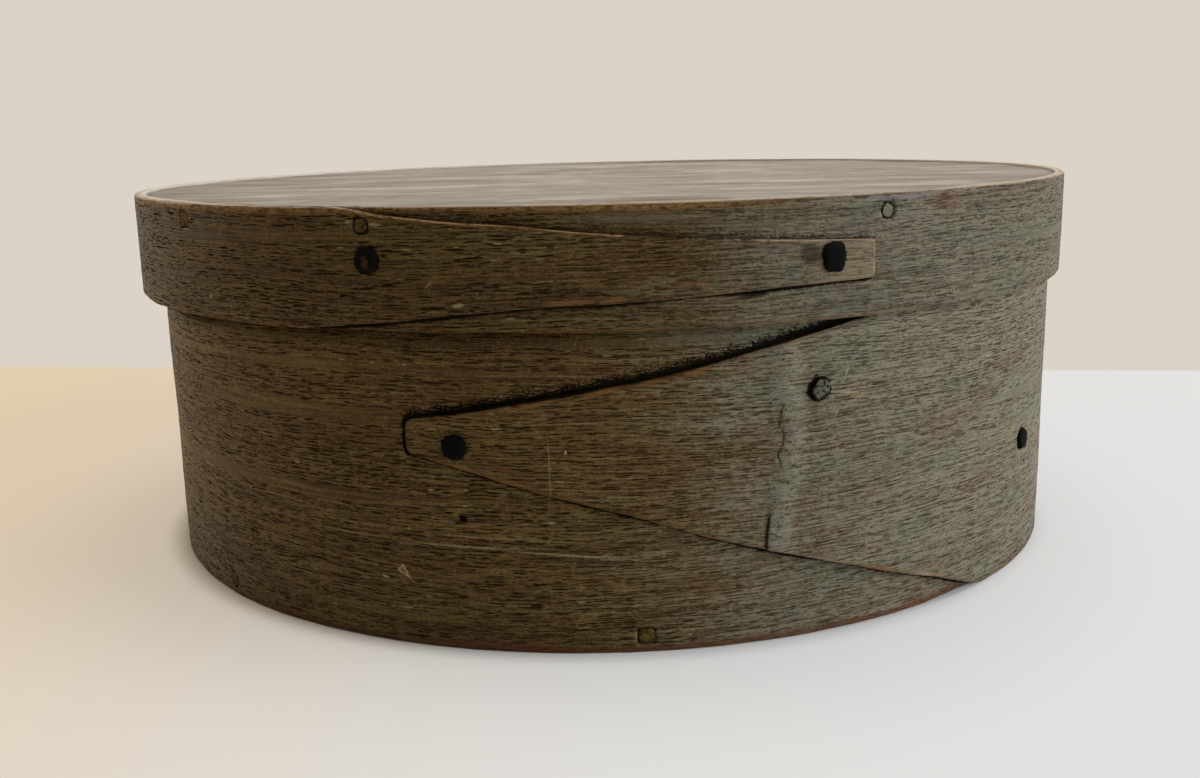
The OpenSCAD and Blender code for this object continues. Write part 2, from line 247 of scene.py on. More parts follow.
# Pegs: strip, angle in degrees, squareness of the peg, how far its end stands out of the skin in mm, and
# how dark its rim is painted, as dirt and as a painted shadow of the gap round the peg
PEGS = {
    "bottom_peg_1": ("base", 3.6, 7.0, 0.02, 0.12),
    "bottom_peg_2": ("base", 55.03, 2.3, -0.06, 0.3),
    "bottom_peg_3": ("base", 106.46, 2.6, 0.05, 0.6),
    "bottom_peg_4": ("base", 157.89, 2.2, -0.05, 0.8),
    "bottom_peg_5": ("base", 209.31, 3.0, 0.04, 0.6),
    "bottom_peg_6": ("base", 260.74, 2.2, -0.12, 0.9),
    "bottom_peg_7": ("base", 312.17, 2.4, 0.0, 0.1),
    "lid_peg_1": ("lid", 27.5, 2.1, -0.16, 1.6),
    "lid_peg_2": ("lid", -21.8, 2.6, -0.25, 1.3),
    "lid_peg_3": ("lid", -71.1, 2.3, -0.08, 0.6),
    "lid_peg_4": ("lid", -120.4, 2.5, -0.08, 0.8),
    "lid_peg_5": ("lid", -169.7, 2.2, -0.10, 0.7),
    "lid_peg_6": ("lid", -219.0, 2.8, -0.10, 0.9),
    "lid_peg_7": ("lid", -268.3, 2.2, -0.12, 0.7),
    "lid_peg_8": ("lid", -46.1, 7.0, -0.02, 0.25),
}
FIRST_PEG_SEED = 51
# Brown scale on the lid's heel tack, seen from the front: sideways place and height, half sizes in mm, turn
HEEL_SCALE = ((-38.9, 69.3), (0.7, 1.6), 10)
# How a finger's edges leave the straight line: angle and width in degrees, rise in mm
BOWS = {
    "base": {"upper": [(7.0, 9.0, -0.55)], "lower": [(2.0, 5.0, 0.35), (24.0, 6.0, 0.3), (44.0, 5.0, -0.55)]},
    "lid": {"upper": [(-24.0, 3.0, 0.35), (-8.0, 4.0, 0.25)], "lower": [(-8.0, 9.0, 0.45)]},
}
# Marks on the painted skin: layer, angle in degrees, height above the floor in mm, half length and half
# height in mm, turn in degrees, shape, tone, strength
MARKS = {
    "base": [
        ("ring", -13.3, 22.5, 2.20, 0.50, -4, "spot", "rubbed_edge", 0.55),
        # Two small holes, painted black as painted shade in place of their depth
        ("ring", -14.3, 24.3, 0.75, 0.60, 0, "square", "soot", 1.0),
        ("ring", -7.2, 8.8, 1.50, 0.75, 0, "spot", "soot", 0.8),
        ("ring", -21.1, 13.7, 1.15, 2.20, -136, "triangle", "flake", 0.95),
        ("ring", -21.2, 13.8, 0.60, 1.20, -136, "triangle", "thin_paint", 0.8),
        ("ring", -23.3, 12.2, 0.80, 0.22, -12, "square", "flake", 0.9),
        ("ring", -16.0, 18.55, 12.0, 0.42, 0, "spot", "pore", 0.6),
        ("ring", -3.0, 17.15, 13.0, 0.50, -3.5, "spot", "pore", 0.7),
        ("ring", -15.0, 19.2, 11.0, 0.26, 0, "spot", "flake", 0.40),
        ("ring", -4.5, 18.2, 13.0, 0.26, -3.5, "spot", "flake", 0.55),
        ("ring", -13.0, 21.0, 12.0, 0.20, -1, "spot", "flake", 0.35),
        ("lap", -3.8, 36.7, 0.34, 0.55, 0, "triangle", "flake", 0.85),
        ("lap", -5.4, 34.0, 0.13, 7.20, 1, "spot", "flake", 0.45),
        # Pale patch on the crease's lip: rubbed paint and a painted highlight
        ("lap", 17.6, 20.8, 1.60, 3.00, 0, "spot", "chalk", 0.45),
        ("lap", -11.0, 43.6, 3.00, 0.45, 13, "spot", "worn_edge", 0.8),
        ("lap", -6.2, 45.1, 3.60, 0.50, 14, "spot", "rubbed_edge", 0.55),
        ("lap", -0.4, 46.9, 4.40, 0.55, 15, "spot", "rubbed_edge", 0.7),
        ("lap", 4.4, 48.5, 3.20, 0.50, 16, "spot", "rubbed_edge", 0.65),
        ("lap", 8.6, 49.8, 3.40, 0.55, 16, "spot", "rubbed_edge", 0.7),
        ("lap", -9.5, 33.4, 4.60, 0.70, -15, "spot", "worn_edge", 0.8),
        ("lap", -14.0, 33.7, 3.60, 0.50, -14, "spot", "rubbed_edge", 0.75),
        ("lap", -9.0, 31.3, 4.00, 0.50, -15, "spot", "rubbed_edge", 0.65),
        ("lap", -3.5, 28.4, 3.40, 0.45, -16, "spot", "worn_edge", 0.8),
        # Along the lower edge right of the crease: rubbed wood with a painted highlight of the edge
        ("lap", 22.0, 14.2, 4.00, 0.50, -17, "spot", "bare_rim", 0.40),
        ("lap", 28.5, 10.6, 5.00, 0.55, -17, "spot", "rubbed_edge", 0.80),
        ("lap", 36.0, 6.4, 5.00, 0.50, -17, "spot", "bare_rim", 0.50),
        ("lap", 24.4, 44.1, 2.60, 0.20, -6, "spot", "flake", 0.8),
        ("lap", 25.6, 43.2, 1.50, 0.16, 8, "spot", "flake", 0.6),
        ("lap", 24.0, 47.7, 1.50, 0.22, 70, "spot", "flake", 0.6),
        ("lap", 23.0, 41.0, 1.70, 0.16, 60, "spot", "flake", 0.55),
        ("lap", 28.0, 51.4, 2.20, 0.25, 20, "spot", "flake", 0.5),
    ],
    "lid": [
        ("lap", -12.7, 62.3, 1.30, 0.45, 8, "spot", "flake", 0.75),
        ("lap", -42.0, 61.6, 0.90, 0.22, 25, "spot", "flake", 0.7),
        ("lap", -15.3, 65.7, 1.10, 0.18, 40, "spot", "flake", 0.5),
        ("lap", 18.8, 69.0, 2.60, 2.10, -4, "spot", "soot", 0.55),
        ("lap", -3.0, 62.6, 5.00, 0.60, 3, "spot", "rubbed_edge", 0.55),
        ("lap", 1.0, 62.9, 3.00, 0.40, 3, "spot", "rubbed_edge", 0.6),
        ("lap", 8.0, 65.2, 3.60, 0.45, 4, "spot", "rubbed_edge", 0.45),
        ("ring", 13.6, 62.7, 3.60, 0.80, 3, "spot", "soot", 0.75),
        ("ring", 35.0, 76.0, 6.00, 1.80, 0, "spot", "worn_edge", 0.4),
        # Painted bluish highlight under the rim
        ("ring", 29.0, 77.2, 9.00, 0.50, 0, "spot", "bloom", 0.6),
        ("ring", -30.5, 76.2, 10.0, 1.00, 0, "spot", "pale_paint", 0.25),
        ("ring", 3.0, 75.9, 15.0, 1.30, 0, "spot", "pale_paint", 0.3),
        ("lap", -21.6, 74.4, 2.00, 0.90, 0, "spot", "soot", 0.9),
        ("lap", -23.0, 75.8, 0.90, 0.35, 10, "spot", "chalk", 0.9),
        ("lap", -20.2, 75.4, 1.50, 0.30, -5, "spot", "flake", 0.6),
    ],
}
# Cracks along the base finger's crease: height of the middle and half length in mm
CRACKS = {"upper": (38.0, 4.0), "lower": (20.0, 2.5)}
# How much less the pores show towards the right
PORES_FILLED = {"base": 0.34, "lid": 0.52}
# Which way a strip's own angles run from the front: 1 towards +X, -1 towards -X
SIDES = {"base": 1, "lid": -1}
# A tack's head from its crown to its underside: share of its radius, share of its height
HEAD_PROFILE = [
    (0.12, 1.0), (0.30, 0.985), (0.48, 0.95), (0.64, 0.90), (0.78, 0.82),
    (0.88, 0.70), (0.95, 0.52), (0.99, 0.30), (1.0, 0.08), (0.99, -0.35)]
# A peg from its outer to its inner end: depth, in mm for a peg of 11 mm, and share of its radius
PEG_PROFILE = [
    (0, 0.2), (0, 0.4), (0, 0.6), (0, 0.8), (0, 0.92), (0.04, 0.97), (0.12, 1),
    (0.30, 1), (2, 1), (5, 1), (8, 0.97), (10.6, 0.9), (11, 0.75)]

# What lights and carries the box

# Lamps: setting of the power, size in m, tint, place in m
LAMPS = {
    "top_light": ("top_power", 1.0, (1.0, 0.98, 0.95), (0.15, 0.1, 1.3)),
    "key_light": ("key_power", 0.8, (0.97, 0.99, 1.0), (1.05, -0.35, 0.42)),
    "warm_light": ("warm_power", 0.5, (1.0, 0.80, 0.52), (-0.85, 0.35, 0.5)),
}
LAMP_AIM = (0, 0, 40 * MM)
FLOOR_REACH = 4.0
# Where the floor's painted warm light gives way to pale, from left to right in mm: in its own colour, and in
# its seen level
FLOOR_TURNS = (-330, 60)
GLOW_TURNS = (-160, 20)


def settings(name):
    """The scene's settings group of that name."""
    return getattr(bpy.context.scene, "pantry_" + name)


# Shapes worked out with numpy

LAP_GAP = 0.1 * MM
BOARD_GAP = 0.1 * MM
SCARF_LEAD = math.radians(3)
SCARF_SPAN = math.radians(16)
START_TRIM = math.radians(3)
RAMP_SPAN = math.radians(56)
# The mesh of a strip: usual height of a row, and where it is crowded, half width of the spot and step there
ROW_STEP = 1.35 * MM
NOSE_MESH = (2.5 * MM, 0.13 * MM)
PEG_MESH = (2.3 * MM, 0.3 * MM)
TACK_MESH = (5 * MM, 0.5 * MM)
CREASE_MESH = (2.6 * MM, 0.16 * MM)
# The mesh of a board: usual turn between spokes and height of its wall's rows, and both crowded at a peg
SPOKE_TURN = math.radians(1.8)
WALL_STEP = 0.5 * MM
SPOKE_MESH = (2.4 * MM, 0.3 * MM)
WALL_MESH = (2.0 * MM, 0.3 * MM)
# Softened edges: of a finger's nose, of a strip's inner corners, of a board
NOSE_SOFT = 0.35 * MM
INNER_SOFT = 0.25 * MM
BOARD_SOFT = 0.5 * MM
# Depth of a strip's hole for a peg's end, length of a peg outside its board's hole, dent round a tack
BAND_HOLE = 1.6 * MM
OUTSIDE_BOARD = 2.0 * MM
DENT_DEPTH = 0.22 * MM
DENT_RADIUS = 2.9 * MM
# Stands for a distance that is out of reach
FAR_OFF = 1.0


def ripple(along, across, s, z, seed, count=9):
    """Gentle unevenness: a sum of sine waves of seeded directions and phases, about -1 to 1.

    along and across are the usual wave lengths in the two directions."""
    rng = np.random.default_rng(seed)
    total = np.zeros(np.broadcast(s, z).shape)
    for _ in range(count):
        turns = s * rng.normal() / along + z * rng.normal() / across + rng.uniform()
        total = total + np.sin(TAU * turns)
    return total / math.sqrt(count)


def smooth(x):
    """Smooth step: 0 below 0, 1 above 1, and 3x^2 - 2x^3 between."""
    x = np.clip(x, 0, 1)
    return x * x * (3 - 2 * x)


def bell(x, width):
    """Bell curve: 1 at 0, and 1/e at the width."""
    return np.exp(-(x / width) ** 2)


def crowded(low, high, step, spots):
    """Places from low to high about a step apart, crowded near the spots.

    step is a length, or a function of the place; a spot is (centre, half width, finer step)."""
    samples = np.linspace(low, high, 60001)
    steps = np.broadcast_to(step(samples) if callable(step) else step, samples.shape)
    for centre, half, fine in spots:
        near = np.exp(-((samples - centre) / half) ** 4)
        steps = np.minimum(steps, steps * (1 - near) + fine * near)
    passed = np.concatenate([[0], np.cumsum((samples[1] - samples[0]) / steps[1:])])
    return np.interp(np.linspace(0, passed[-1], int(passed[-1]) + 1), passed, samples)


def unit(place):
    """Direction of an angle in plan."""
    return np.array([math.sin(place), -math.cos(place)])


def arc_centre(p, q, radius):
    """Centre of the circle of that radius through p and q, on the axis's side of them."""
    chord = q - p
    span = np.linalg.norm(chord)
    normal = np.array([-chord[1], chord[0]]) / span * math.sqrt(radius ** 2 - span ** 2 / 4)
    return min(((p + q) / 2 + normal, (p + q) / 2 - normal), key=np.linalg.norm)


def reach(centre, radius, place):
    """Distance from the axis, along an angle, to a circle round a centre."""
    along = centre[0] * np.sin(place) - centre[1] * np.cos(place)
    return along + np.sqrt(radius ** 2 - centre @ centre + along ** 2)


class Strip:
    """A strip bent once round and lapped over its own start.

    It is followed by a running angle that falls from the shaved start, once round the ring, up the ramp and
    along the finger to its nose. On the first turn the running angle is the place's own angle, and on the
    lap it is a whole turn less. Angles are the strip's own, which for the lid run towards -X."""

    def __init__(self, name):
        sizes = settings(name + "_strip")
        self.name = name
        self.sizes = sizes
        self.side = SIDES[name]
        self.ring = sizes.ring_radius
        self.inner = sizes.board_radius + BOARD_GAP
        self.lap = self.ring + LAP_GAP + sizes.lap_thickness
        self.nose = sizes.nose_angle
        self.scarf = max(sizes.upper_root, sizes.lower_root) + SCARF_LEAD
        self.scarf_end = self.scarf + SCARF_SPAN
        self.start = self.scarf_end - START_TRIM
        self.lap_end = self.scarf + RAMP_SPAN
        self.length = (self.start - self.nose + TAU) * self.ring
        tip_radius = self.ring + LAP_GAP + sizes.tip_thickness + sizes.step
        root = self.lap * unit(self.scarf)
        self.lap_centre = arc_centre(tip_radius * unit(self.nose), root, self.lap)
        self.ramp_centre = arc_centre(root, self.ring * unit(self.lap_end), self.lap)
        self.scarf_centre = arc_centre(
            self.ring * unit(self.scarf), self.inner * unit(self.scarf_end), self.ring)

    def place(self, degrees):
        """The strip's own angle of a place round the box given in degrees."""
        return self.side * math.radians(degrees)

    def running(self, place, lap=False):
        """Running angle of a place, on the first turn or on the lap."""
        first = self.start - (self.start - place) % TAU
        return first - TAU if lap and first - TAU >= self.nose - TAU else first

    def along(self, running):
        """Length of strip from its start to a running angle."""
        return (self.start - running) * self.ring

    def radii(self, running):
        """Radii of the inner and outer face: arcs for the scarf, the ring, the ramp and the lap."""
        lap = running + TAU
        outer = np.where(running > self.scarf, reach(self.scarf_centre, self.ring, running), self.ring)
        ramp = reach(self.ramp_centre, self.lap, lap)
        finger = reach(self.lap_centre, self.lap, lap)
        outer = np.where(lap < self.lap_end, np.where(lap > self.scarf, ramp, finger), outer)
        under = np.where(
            lap > self.scarf, reach(self.scarf_centre, self.ring + LAP_GAP, lap), self.ring + LAP_GAP)
        inner = np.where(lap < self.scarf_end, np.maximum(under, self.inner), self.inner)
        return inner, outer

    def view_x(self, place):
        """Sideways place of an angle, seen square to the finger."""
        return self.lap * np.sin(place - self.sizes.view_angle)

    def corner_x(self):
        """Sideways place of the corners of the finger's end."""
        return self.view_x(self.nose) + self.sizes.nose_length * math.cos(self.nose - self.sizes.view_angle)

    def bow(self, edge, place):
        """How far an edge of the finger leaves the straight line: a sum of bell curves."""
        rise = 0
        for degrees, width, height in BOWS[self.name][edge]:
            rise = rise + height * MM * bell(place - self.place(degrees), math.radians(width))
        return rise

    def taper(self, place):
        """Heights of the finger's lower and upper edge: lines from the end's corners to the roots, bowed."""
        sizes = self.sizes
        x, corner = self.view_x(place), self.corner_x()
        half = sizes.end_height / 2
        upper = np.interp(
            x, [corner, self.view_x(sizes.upper_root)], [sizes.nose_height + half, sizes.height])
        lower = np.interp(x, [corner, self.view_x(sizes.lower_root)], [sizes.nose_height - half, 0])
        upper = np.minimum(upper + self.bow("upper", place), sizes.height)
        lower = np.maximum(lower + self.bow("lower", place), 0)
        return lower, upper

    def finger(self, place):
        """Heights of the finger's edges with its end rounded: the taper drawn in towards its middle."""
        lower, upper = self.taper(place)
        corner = self.corner_x()
        past = np.clip((corner - self.view_x(place)) / (corner - self.view_x(self.nose)), 0, 1)
        keep = (1 - 0.97 * past ** 2) ** (1 / 3)
        middle = (upper + lower) / 2
        return middle + (lower - middle) * keep, middle + (upper - middle) * keep

    def edges(self, running):
        """Heights of the strip's lower and upper edge: whole, or cut to the finger on the lap."""
        lap = running + TAU
        lower, upper = self.finger(np.minimum(lap, self.scarf))
        on_lap = lap < self.scarf
        return np.where(on_lap, lower, 0), np.where(on_lap, upper, self.sizes.height)

    def on_lap(self, place, z):
        """Whether a place shows the lapped layer."""
        lower, upper = self.finger(np.asarray(min(place, self.scarf)))
        return self.nose < place < self.start and bool(lower < z < upper)

    def crease(self, z):
        """Angle of the crease, in degrees round its usual place: it leans from one side to the other at the
        middle of its height, leans back near the top, and zigzags in its upper part."""
        lean = 0.75 * np.tanh((z - 27 * MM) / (5 * MM)) - 0.6 * smooth((z - 41 * MM) / (6 * MM))
        zigzag = 0.28 * np.sin(z / (0.95 * MM)) + 0.10 * np.sin(z / (0.40 * MM))
        upper = smooth((z - 24 * MM) / (8 * MM))
        return self.sizes.crease_angle + math.radians(1) * (lean + zigzag * upper)

    def past_crease(self, running, z):
        """Length from the crease towards the root, on the lap, or far off elsewhere."""
        past = (running + TAU - self.crease(z)) * self.lap
        return np.where(running + TAU < self.scarf, past, FAR_OFF)

    def fold(self, past, z):
        """Relief at the crease: a step, sharp below and soft above, with a lip, a hollow and the cracks."""
        span = (0.4 + 4.2 * smooth((z - 23 * MM) / (6 * MM))) * MM
        rise = smooth(past / span + 0.6)
        lip = 0.24 * MM * bell(past - 1.6 * MM, 2.4 * MM)
        hollow = 0.20 * MM * bell(past - 5.0 * MM, 1.8 * MM)
        split = sum(smooth(1.6 - np.abs(z - middle * MM) / (half * MM)) for middle, half in CRACKS.values())
        crack = 0.40 * MM * bell(past + 0.1 * MM, 0.15 * MM) * split
        return rise * (lip - hollow) - self.sizes.step * (1 - rise) - crack

    def relief(self, running, z):
        """How far the skin leaves its arcs: gentle waves and fibres, and the crease where there is one.
        A strip without a crease is kept within its arcs."""
        s = self.along(running)
        waves = ripple(70 * MM, 45 * MM, s, z, seed=11) * 0.09 * MM
        fibres = ripple(14 * MM, 3.5 * MM, s, z, seed=12) * 0.025 * MM
        if self.sizes.step > 0:
            return waves + fibres + self.fold(self.past_crease(running, z), z)
        return np.minimum(waves + fibres - 0.11 * MM, 0)

    def skin(self, place, z):
        """Radius of the visible skin at a place."""
        running = np.asarray(self.running(place, self.on_lap(place, z)))
        return float(self.radii(running)[1] + self.relief(running, np.asarray(z)))

    def point(self, radius, place, z):
        """Points at a radius, own angle and height above the strip's lower edge."""
        radius, place, z = np.broadcast_arrays(radius, place, z)
        return np.stack(
            [self.side * radius * np.sin(place), -radius * np.cos(place), self.sizes.low_edge + z], -1)


def both_strips():
    """The two strips by name."""
    return {name: Strip(name) for name in SIDES}


def pegs_of(strip):
    """Own angle and squareness of each of a strip's pegs."""
    return [
        (strip.place(degrees), square)
        for name, degrees, square, _, _ in PEGS.values() if name == strip.name]


def tacks_of(strip):
    """Own angle and height of each of a strip's tacks."""
    return [
        (strip.place(degrees), z * MM)
        for name, degrees, z, _, _ in TACKS.values() if name == strip.name]


def peg_width(dx, dz, square):
    """Size of the squarish ring round a peg's middle that passes through a point."""
    return (np.abs(dx) ** square + np.abs(dz) ** square) ** (1 / square)


def peg_hole(dx, dz, square, depth):
    """Depth of a peg's hole at a distance from its middle: steep sides and a flat bottom."""
    radius = settings("fittings").peg_diameter / 2 + 0.01 * MM
    return depth * smooth((radius - peg_width(dx, dz, square)) / (0.12 * MM) + 0.5)


def strip_rows(strip):
    """The strip's cross section as rows: outer face and rounded corners, then inner face, once round.

    Each row has its side (1 outer, 0 inner), its share of the height, and how much of the lower and upper
    corner's rounding is added to its height and taken from its face."""
    height = strip.sizes.height
    spots = [np.array([strip.sizes.peg_height, *PEG_MESH]) / height]
    outer = crowded(0, 1, ROW_STEP / height, spots)[1:-1]
    inner = np.linspace(1, 0, 16)[1:-1]
    fine, plain = np.linspace(0, math.pi / 2, 6), np.linspace(0, math.pi / 2, 3)
    zero, one = np.zeros_like, np.ones_like

    def corner(side, top, turn):
        """Rows of a corner: a quarter of a circle."""
        curve, flat = 1 - np.cos(turn), 1 - np.sin(turn)
        nothing = zero(turn)
        rows = [one(turn) * side, one(turn) * top]
        rows += [nothing, -curve, nothing, flat] if top else [curve, nothing, flat, nothing]
        return np.array(rows)

    def face(side, heights):
        """Rows of a flat face, between its two corners."""
        return np.array([one(heights) * side, heights, 1 - heights, -heights, zero(heights), zero(heights)])

    return np.concatenate([
        corner(1, 0, fine), face(1, outer), corner(1, 1, fine[::-1]),
        corner(0, 1, plain), face(0, inner), corner(0, 0, plain[::-1])], axis=1)


def strip_stations(strip):
    """Running angles of the cross sections: close where the front shows, closest at pegs, crease and nose."""
    spots = [(strip.length, *NOSE_MESH)]
    for place, _ in pegs_of(strip):
        for lap in (False, True):
            spots.append((strip.along(strip.running(place, lap)), *PEG_MESH))
    for place, _ in tacks_of(strip):
        spots.append((strip.along(strip.running(place, True)), *TACK_MESH))
    if strip.sizes.step > 0:
        crease = strip.along(strip.running(strip.sizes.crease_angle, True))
        spots.append((crease, *CREASE_MESH))

    def step(s):
        """Usual step along the strip: 2.4 mm behind, 1 mm in front and 0.75 mm on the lap."""
        running = strip.start - s / strip.ring
        front = smooth((math.radians(115) - np.abs(running)) / math.radians(20))
        lap = smooth((strip.start - TAU - running) / math.radians(5))
        return (2.4 - 1.4 * front - 1.65 * lap) * MM

    return strip.start - crowded(0, strip.length, step, spots) / strip.ring


def lap_distance(strip, place, z):
    """Distance of a point of the first turn from the finger over it, as from a box with round corners, and
    how far the point is above the finger rather than below it, from 0 to 1."""
    lower, upper = strip.taper(np.clip(place, strip.nose, strip.scarf))
    soft = 0.8 * strip.sizes.nose_length
    beside = (strip.nose - place) * strip.lap + soft
    above = np.maximum(z - upper, lower - z) + soft
    outside = np.hypot(np.maximum(beside, 0), np.maximum(above, 0))
    distance = outside + np.minimum(np.maximum(beside, above), 0) - soft
    return distance, smooth((z - (lower + upper) / 2) / (5 * MM) + 0.4)


def bent_strip(strip):
    """Points of a strip, ring after ring of its cross section, and the attributes its finish reads.

    A rounded oblong section is carried along the running angle: its faces lie on the strip's two radii, its
    edges at the strip's two heights, and the skin is moved out by the relief and in at dents and holes."""
    running = strip_stations(strip)[:, None]
    side, part, add_low, add_up, round_low, round_up = strip_rows(strip)[:, None, :]
    s = strip.along(running)
    inner, outer = strip.radii(running)
    to_nose = strip.length - s
    past_soft = np.clip(1 - to_nose / NOSE_SOFT, 0, 1)
    outer = outer - NOSE_SOFT * (1 - np.sqrt(1 - past_soft ** 2)) * 0.9

    def uneven(wave, seed):
        """Ripple along the strip alone."""
        return ripple(wave, 1, s, 0 * s, seed)

    lower, upper = strip.edges(running)
    lower = lower + np.maximum(uneven(30 * MM, 21), -0.4) * 0.05 * MM + 0.02 * MM
    upper = upper + np.minimum(uneven(60 * MM, 22), 0.4) * 0.03 * MM - 0.012 * MM
    room = 0.45 * (outer - inner)
    inner_corner = np.minimum(INNER_SOFT, room / 2)
    low_corner = np.minimum((0.42 + 0.16 * uneven(20 * MM, 23)) * MM, room)
    up_corner = np.minimum((0.55 + 0.20 * uneven(20 * MM, 24)) * MM, room)
    low_corner = np.where(side > 0, low_corner, inner_corner)
    up_corner = np.where(side > 0, up_corner, inner_corner)
    z = lower * (1 - part) + upper * part + low_corner * add_low + up_corner * add_up
    corner = low_corner * round_low + up_corner * round_up
    place = np.where(running + TAU < strip.lap_end, running + TAU, running)
    radius = np.where(side > 0, outer - corner, inner + corner)
    relief = strip.relief(running, z)
    for at, square in pegs_of(strip):
        on_lap = strip.on_lap(at, strip.sizes.peg_height)
        dx = (running - strip.running(at, on_lap)) * strip.ring
        relief = relief - peg_hole(dx, z - strip.sizes.peg_height, square, BAND_HOLE)
    from_tack = np.full(z.shape, FAR_OFF)
    for at, tack_z in tacks_of(strip):
        dx = (running - strip.running(at, True)) * strip.lap
        off = np.hypot(dx, z - tack_z)
        relief = relief - DENT_DEPTH * bell(off, DENT_RADIUS)
        from_tack = np.minimum(from_tack, off - settings("fittings").head_diameter / 2)
    radius = radius + np.where(side > 0, relief, 0)
    points = strip.point(radius, place, z)
    first_turn = running > strip.lap_end - TAU
    distance, above = lap_distance(strip, running, z)
    lengths = {
        "sunk": np.where(side > 0, outer + relief - radius, outer - radius),
        "edge": np.minimum(np.minimum(z - lower, upper - z), to_nose),
        "rim": strip.sizes.height - z,
        "lap": np.where(first_turn, distance, FAR_OFF),
        "crease": strip.past_crease(running, z) if strip.sizes.step > 0 else FAR_OFF,
        "tack": from_tack}
    shares = {"finger": np.where(running + TAU < strip.scarf, 1.0, 0.0), "above": above, "inside": 1 - side}
    values = {key: np.broadcast_to(value, z.shape) / MM for key, value in lengths.items()}
    values |= {key: np.broadcast_to(value, z.shape) for key, value in shares.items()}
    values["grain"] = np.stack(np.broadcast_arrays(s, z + strip.sizes.low_edge, radius - inner), -1) / MM
    return points, values


def board(strip, low, high, seed):
    """Points of a board as rings from the middle of its underside, over its edge, to the middle of its face.

    A disc's outline turned round the axis, with softened edges, long hollows along the grain, and the
    holes of its pegs sunk into its edge."""
    radius, soft = strip.sizes.board_radius, BOARD_SOFT
    spots = [(place % TAU, *(x / radius for x in SPOKE_MESH)) for place, _ in pegs_of(strip)]
    place = crowded(0, TAU, SPOKE_TURN, spots)[None, :-1]
    peg_z = strip.sizes.low_edge + strip.sizes.peg_height
    spread = np.linspace(0, 1, 34)[1:] ** 0.8 * (radius - soft)
    turn = np.linspace(0, math.pi / 2, 5)[1:]
    wall = crowded(low + soft, high - soft, WALL_STEP, [(peg_z, *WALL_MESH)])[1:]
    r = np.concatenate([
        spread, radius - soft + soft * np.sin(turn), np.full(len(wall), radius),
        radius - soft + soft * np.cos(turn), spread[-2::-1]])[:, None]
    z = np.concatenate([
        np.full(len(spread), low), low + soft - soft * np.cos(turn), wall,
        high - soft + soft * np.sin(turn), np.full(len(spread) - 1, high)])[:, None]
    r, z = r + 0 * place, z + 0 * place
    for at, square in pegs_of(strip):
        dx = (np.mod(place - at + math.pi, TAU) - math.pi) * radius
        depth = peg_hole(dx, z - peg_z, square, settings("fittings").peg_length - OUTSIDE_BOARD)
        r = r - np.where(r > radius - 0.01 * MM, depth, 0)
    x, y = strip.side * r * np.sin(place), -r * np.cos(place)
    face = (z - low) / (high - low)
    worn = np.maximum(ripple(160 * MM, 22 * MM, x, y, seed), -1.2) + 1.2
    rub = ripple(45 * MM, 7 * MM, x, y, seed + 1) * 0.03 * MM
    z = z - face * (worn * 0.10 * MM + np.abs(rub)) + (1 - face) * worn * 0.06 * MM
    middle = [[0, 0, z[0].mean()], [0, 0, z[-1].mean()]]
    return np.stack([x, y, z], -1), middle


def peg(strip, at, square, stand, dirt, seed):
    """Points of a peg as rings from the middle of its outer end to the middle of its inner end.

    A squarish ring carried along the peg's axis: its end is cut a little uneven, with softened corners."""
    fittings = settings("fittings")
    z = strip.sizes.peg_height
    radius = fittings.peg_diameter / 2
    skin = strip.skin(at, z) + stand
    turn = np.linspace(0, TAU, 33)[None, :-1]
    depth, width = np.array(PEG_PROFILE).T
    depth = depth / depth[-1] * fittings.peg_length
    outline = 1 / peg_width(np.cos(turn), np.sin(turn), square)
    outline = outline * (0.94 if square > 4 else 1) * (1 + 0.02 * np.sin(2 * turn + seed))
    across = radius * width[:, None] * outline * np.cos(turn)
    upright = radius * width[:, None] * outline * np.sin(turn)
    cut = ripple(1.6 * MM, 1.6 * MM, across, upright, seed) * 0.05 * MM
    lean = across * 0.04 * math.sin(seed) + upright * 0.04 * math.cos(3 * seed)
    near_end = smooth(1 - depth[:, None] / (0.4 * MM))
    out = skin - depth[:, None] + (cut + lean) * near_end
    points = strip.point(np.hypot(out, across), at + np.arctan2(across, out), z + upright)
    ends = strip.point(np.array([out[0].mean(), out[-1].mean()]), at, z)
    # The dirt value darkens the peg's rim: dirt, and a painted shadow of the gap round it
    return points, ends, {
        "rim": ring_values(width, turn), "deep": ring_values(depth / MM, turn),
        "dirt": ring_values(np.full(len(width), dirt), turn)}


def ring_values(values, turn):
    """A value for each ring as one for each point, the two poles at the end taking the end rings' values."""
    return np.concatenate([np.repeat(values, turn.size), values[[0, -1]]])


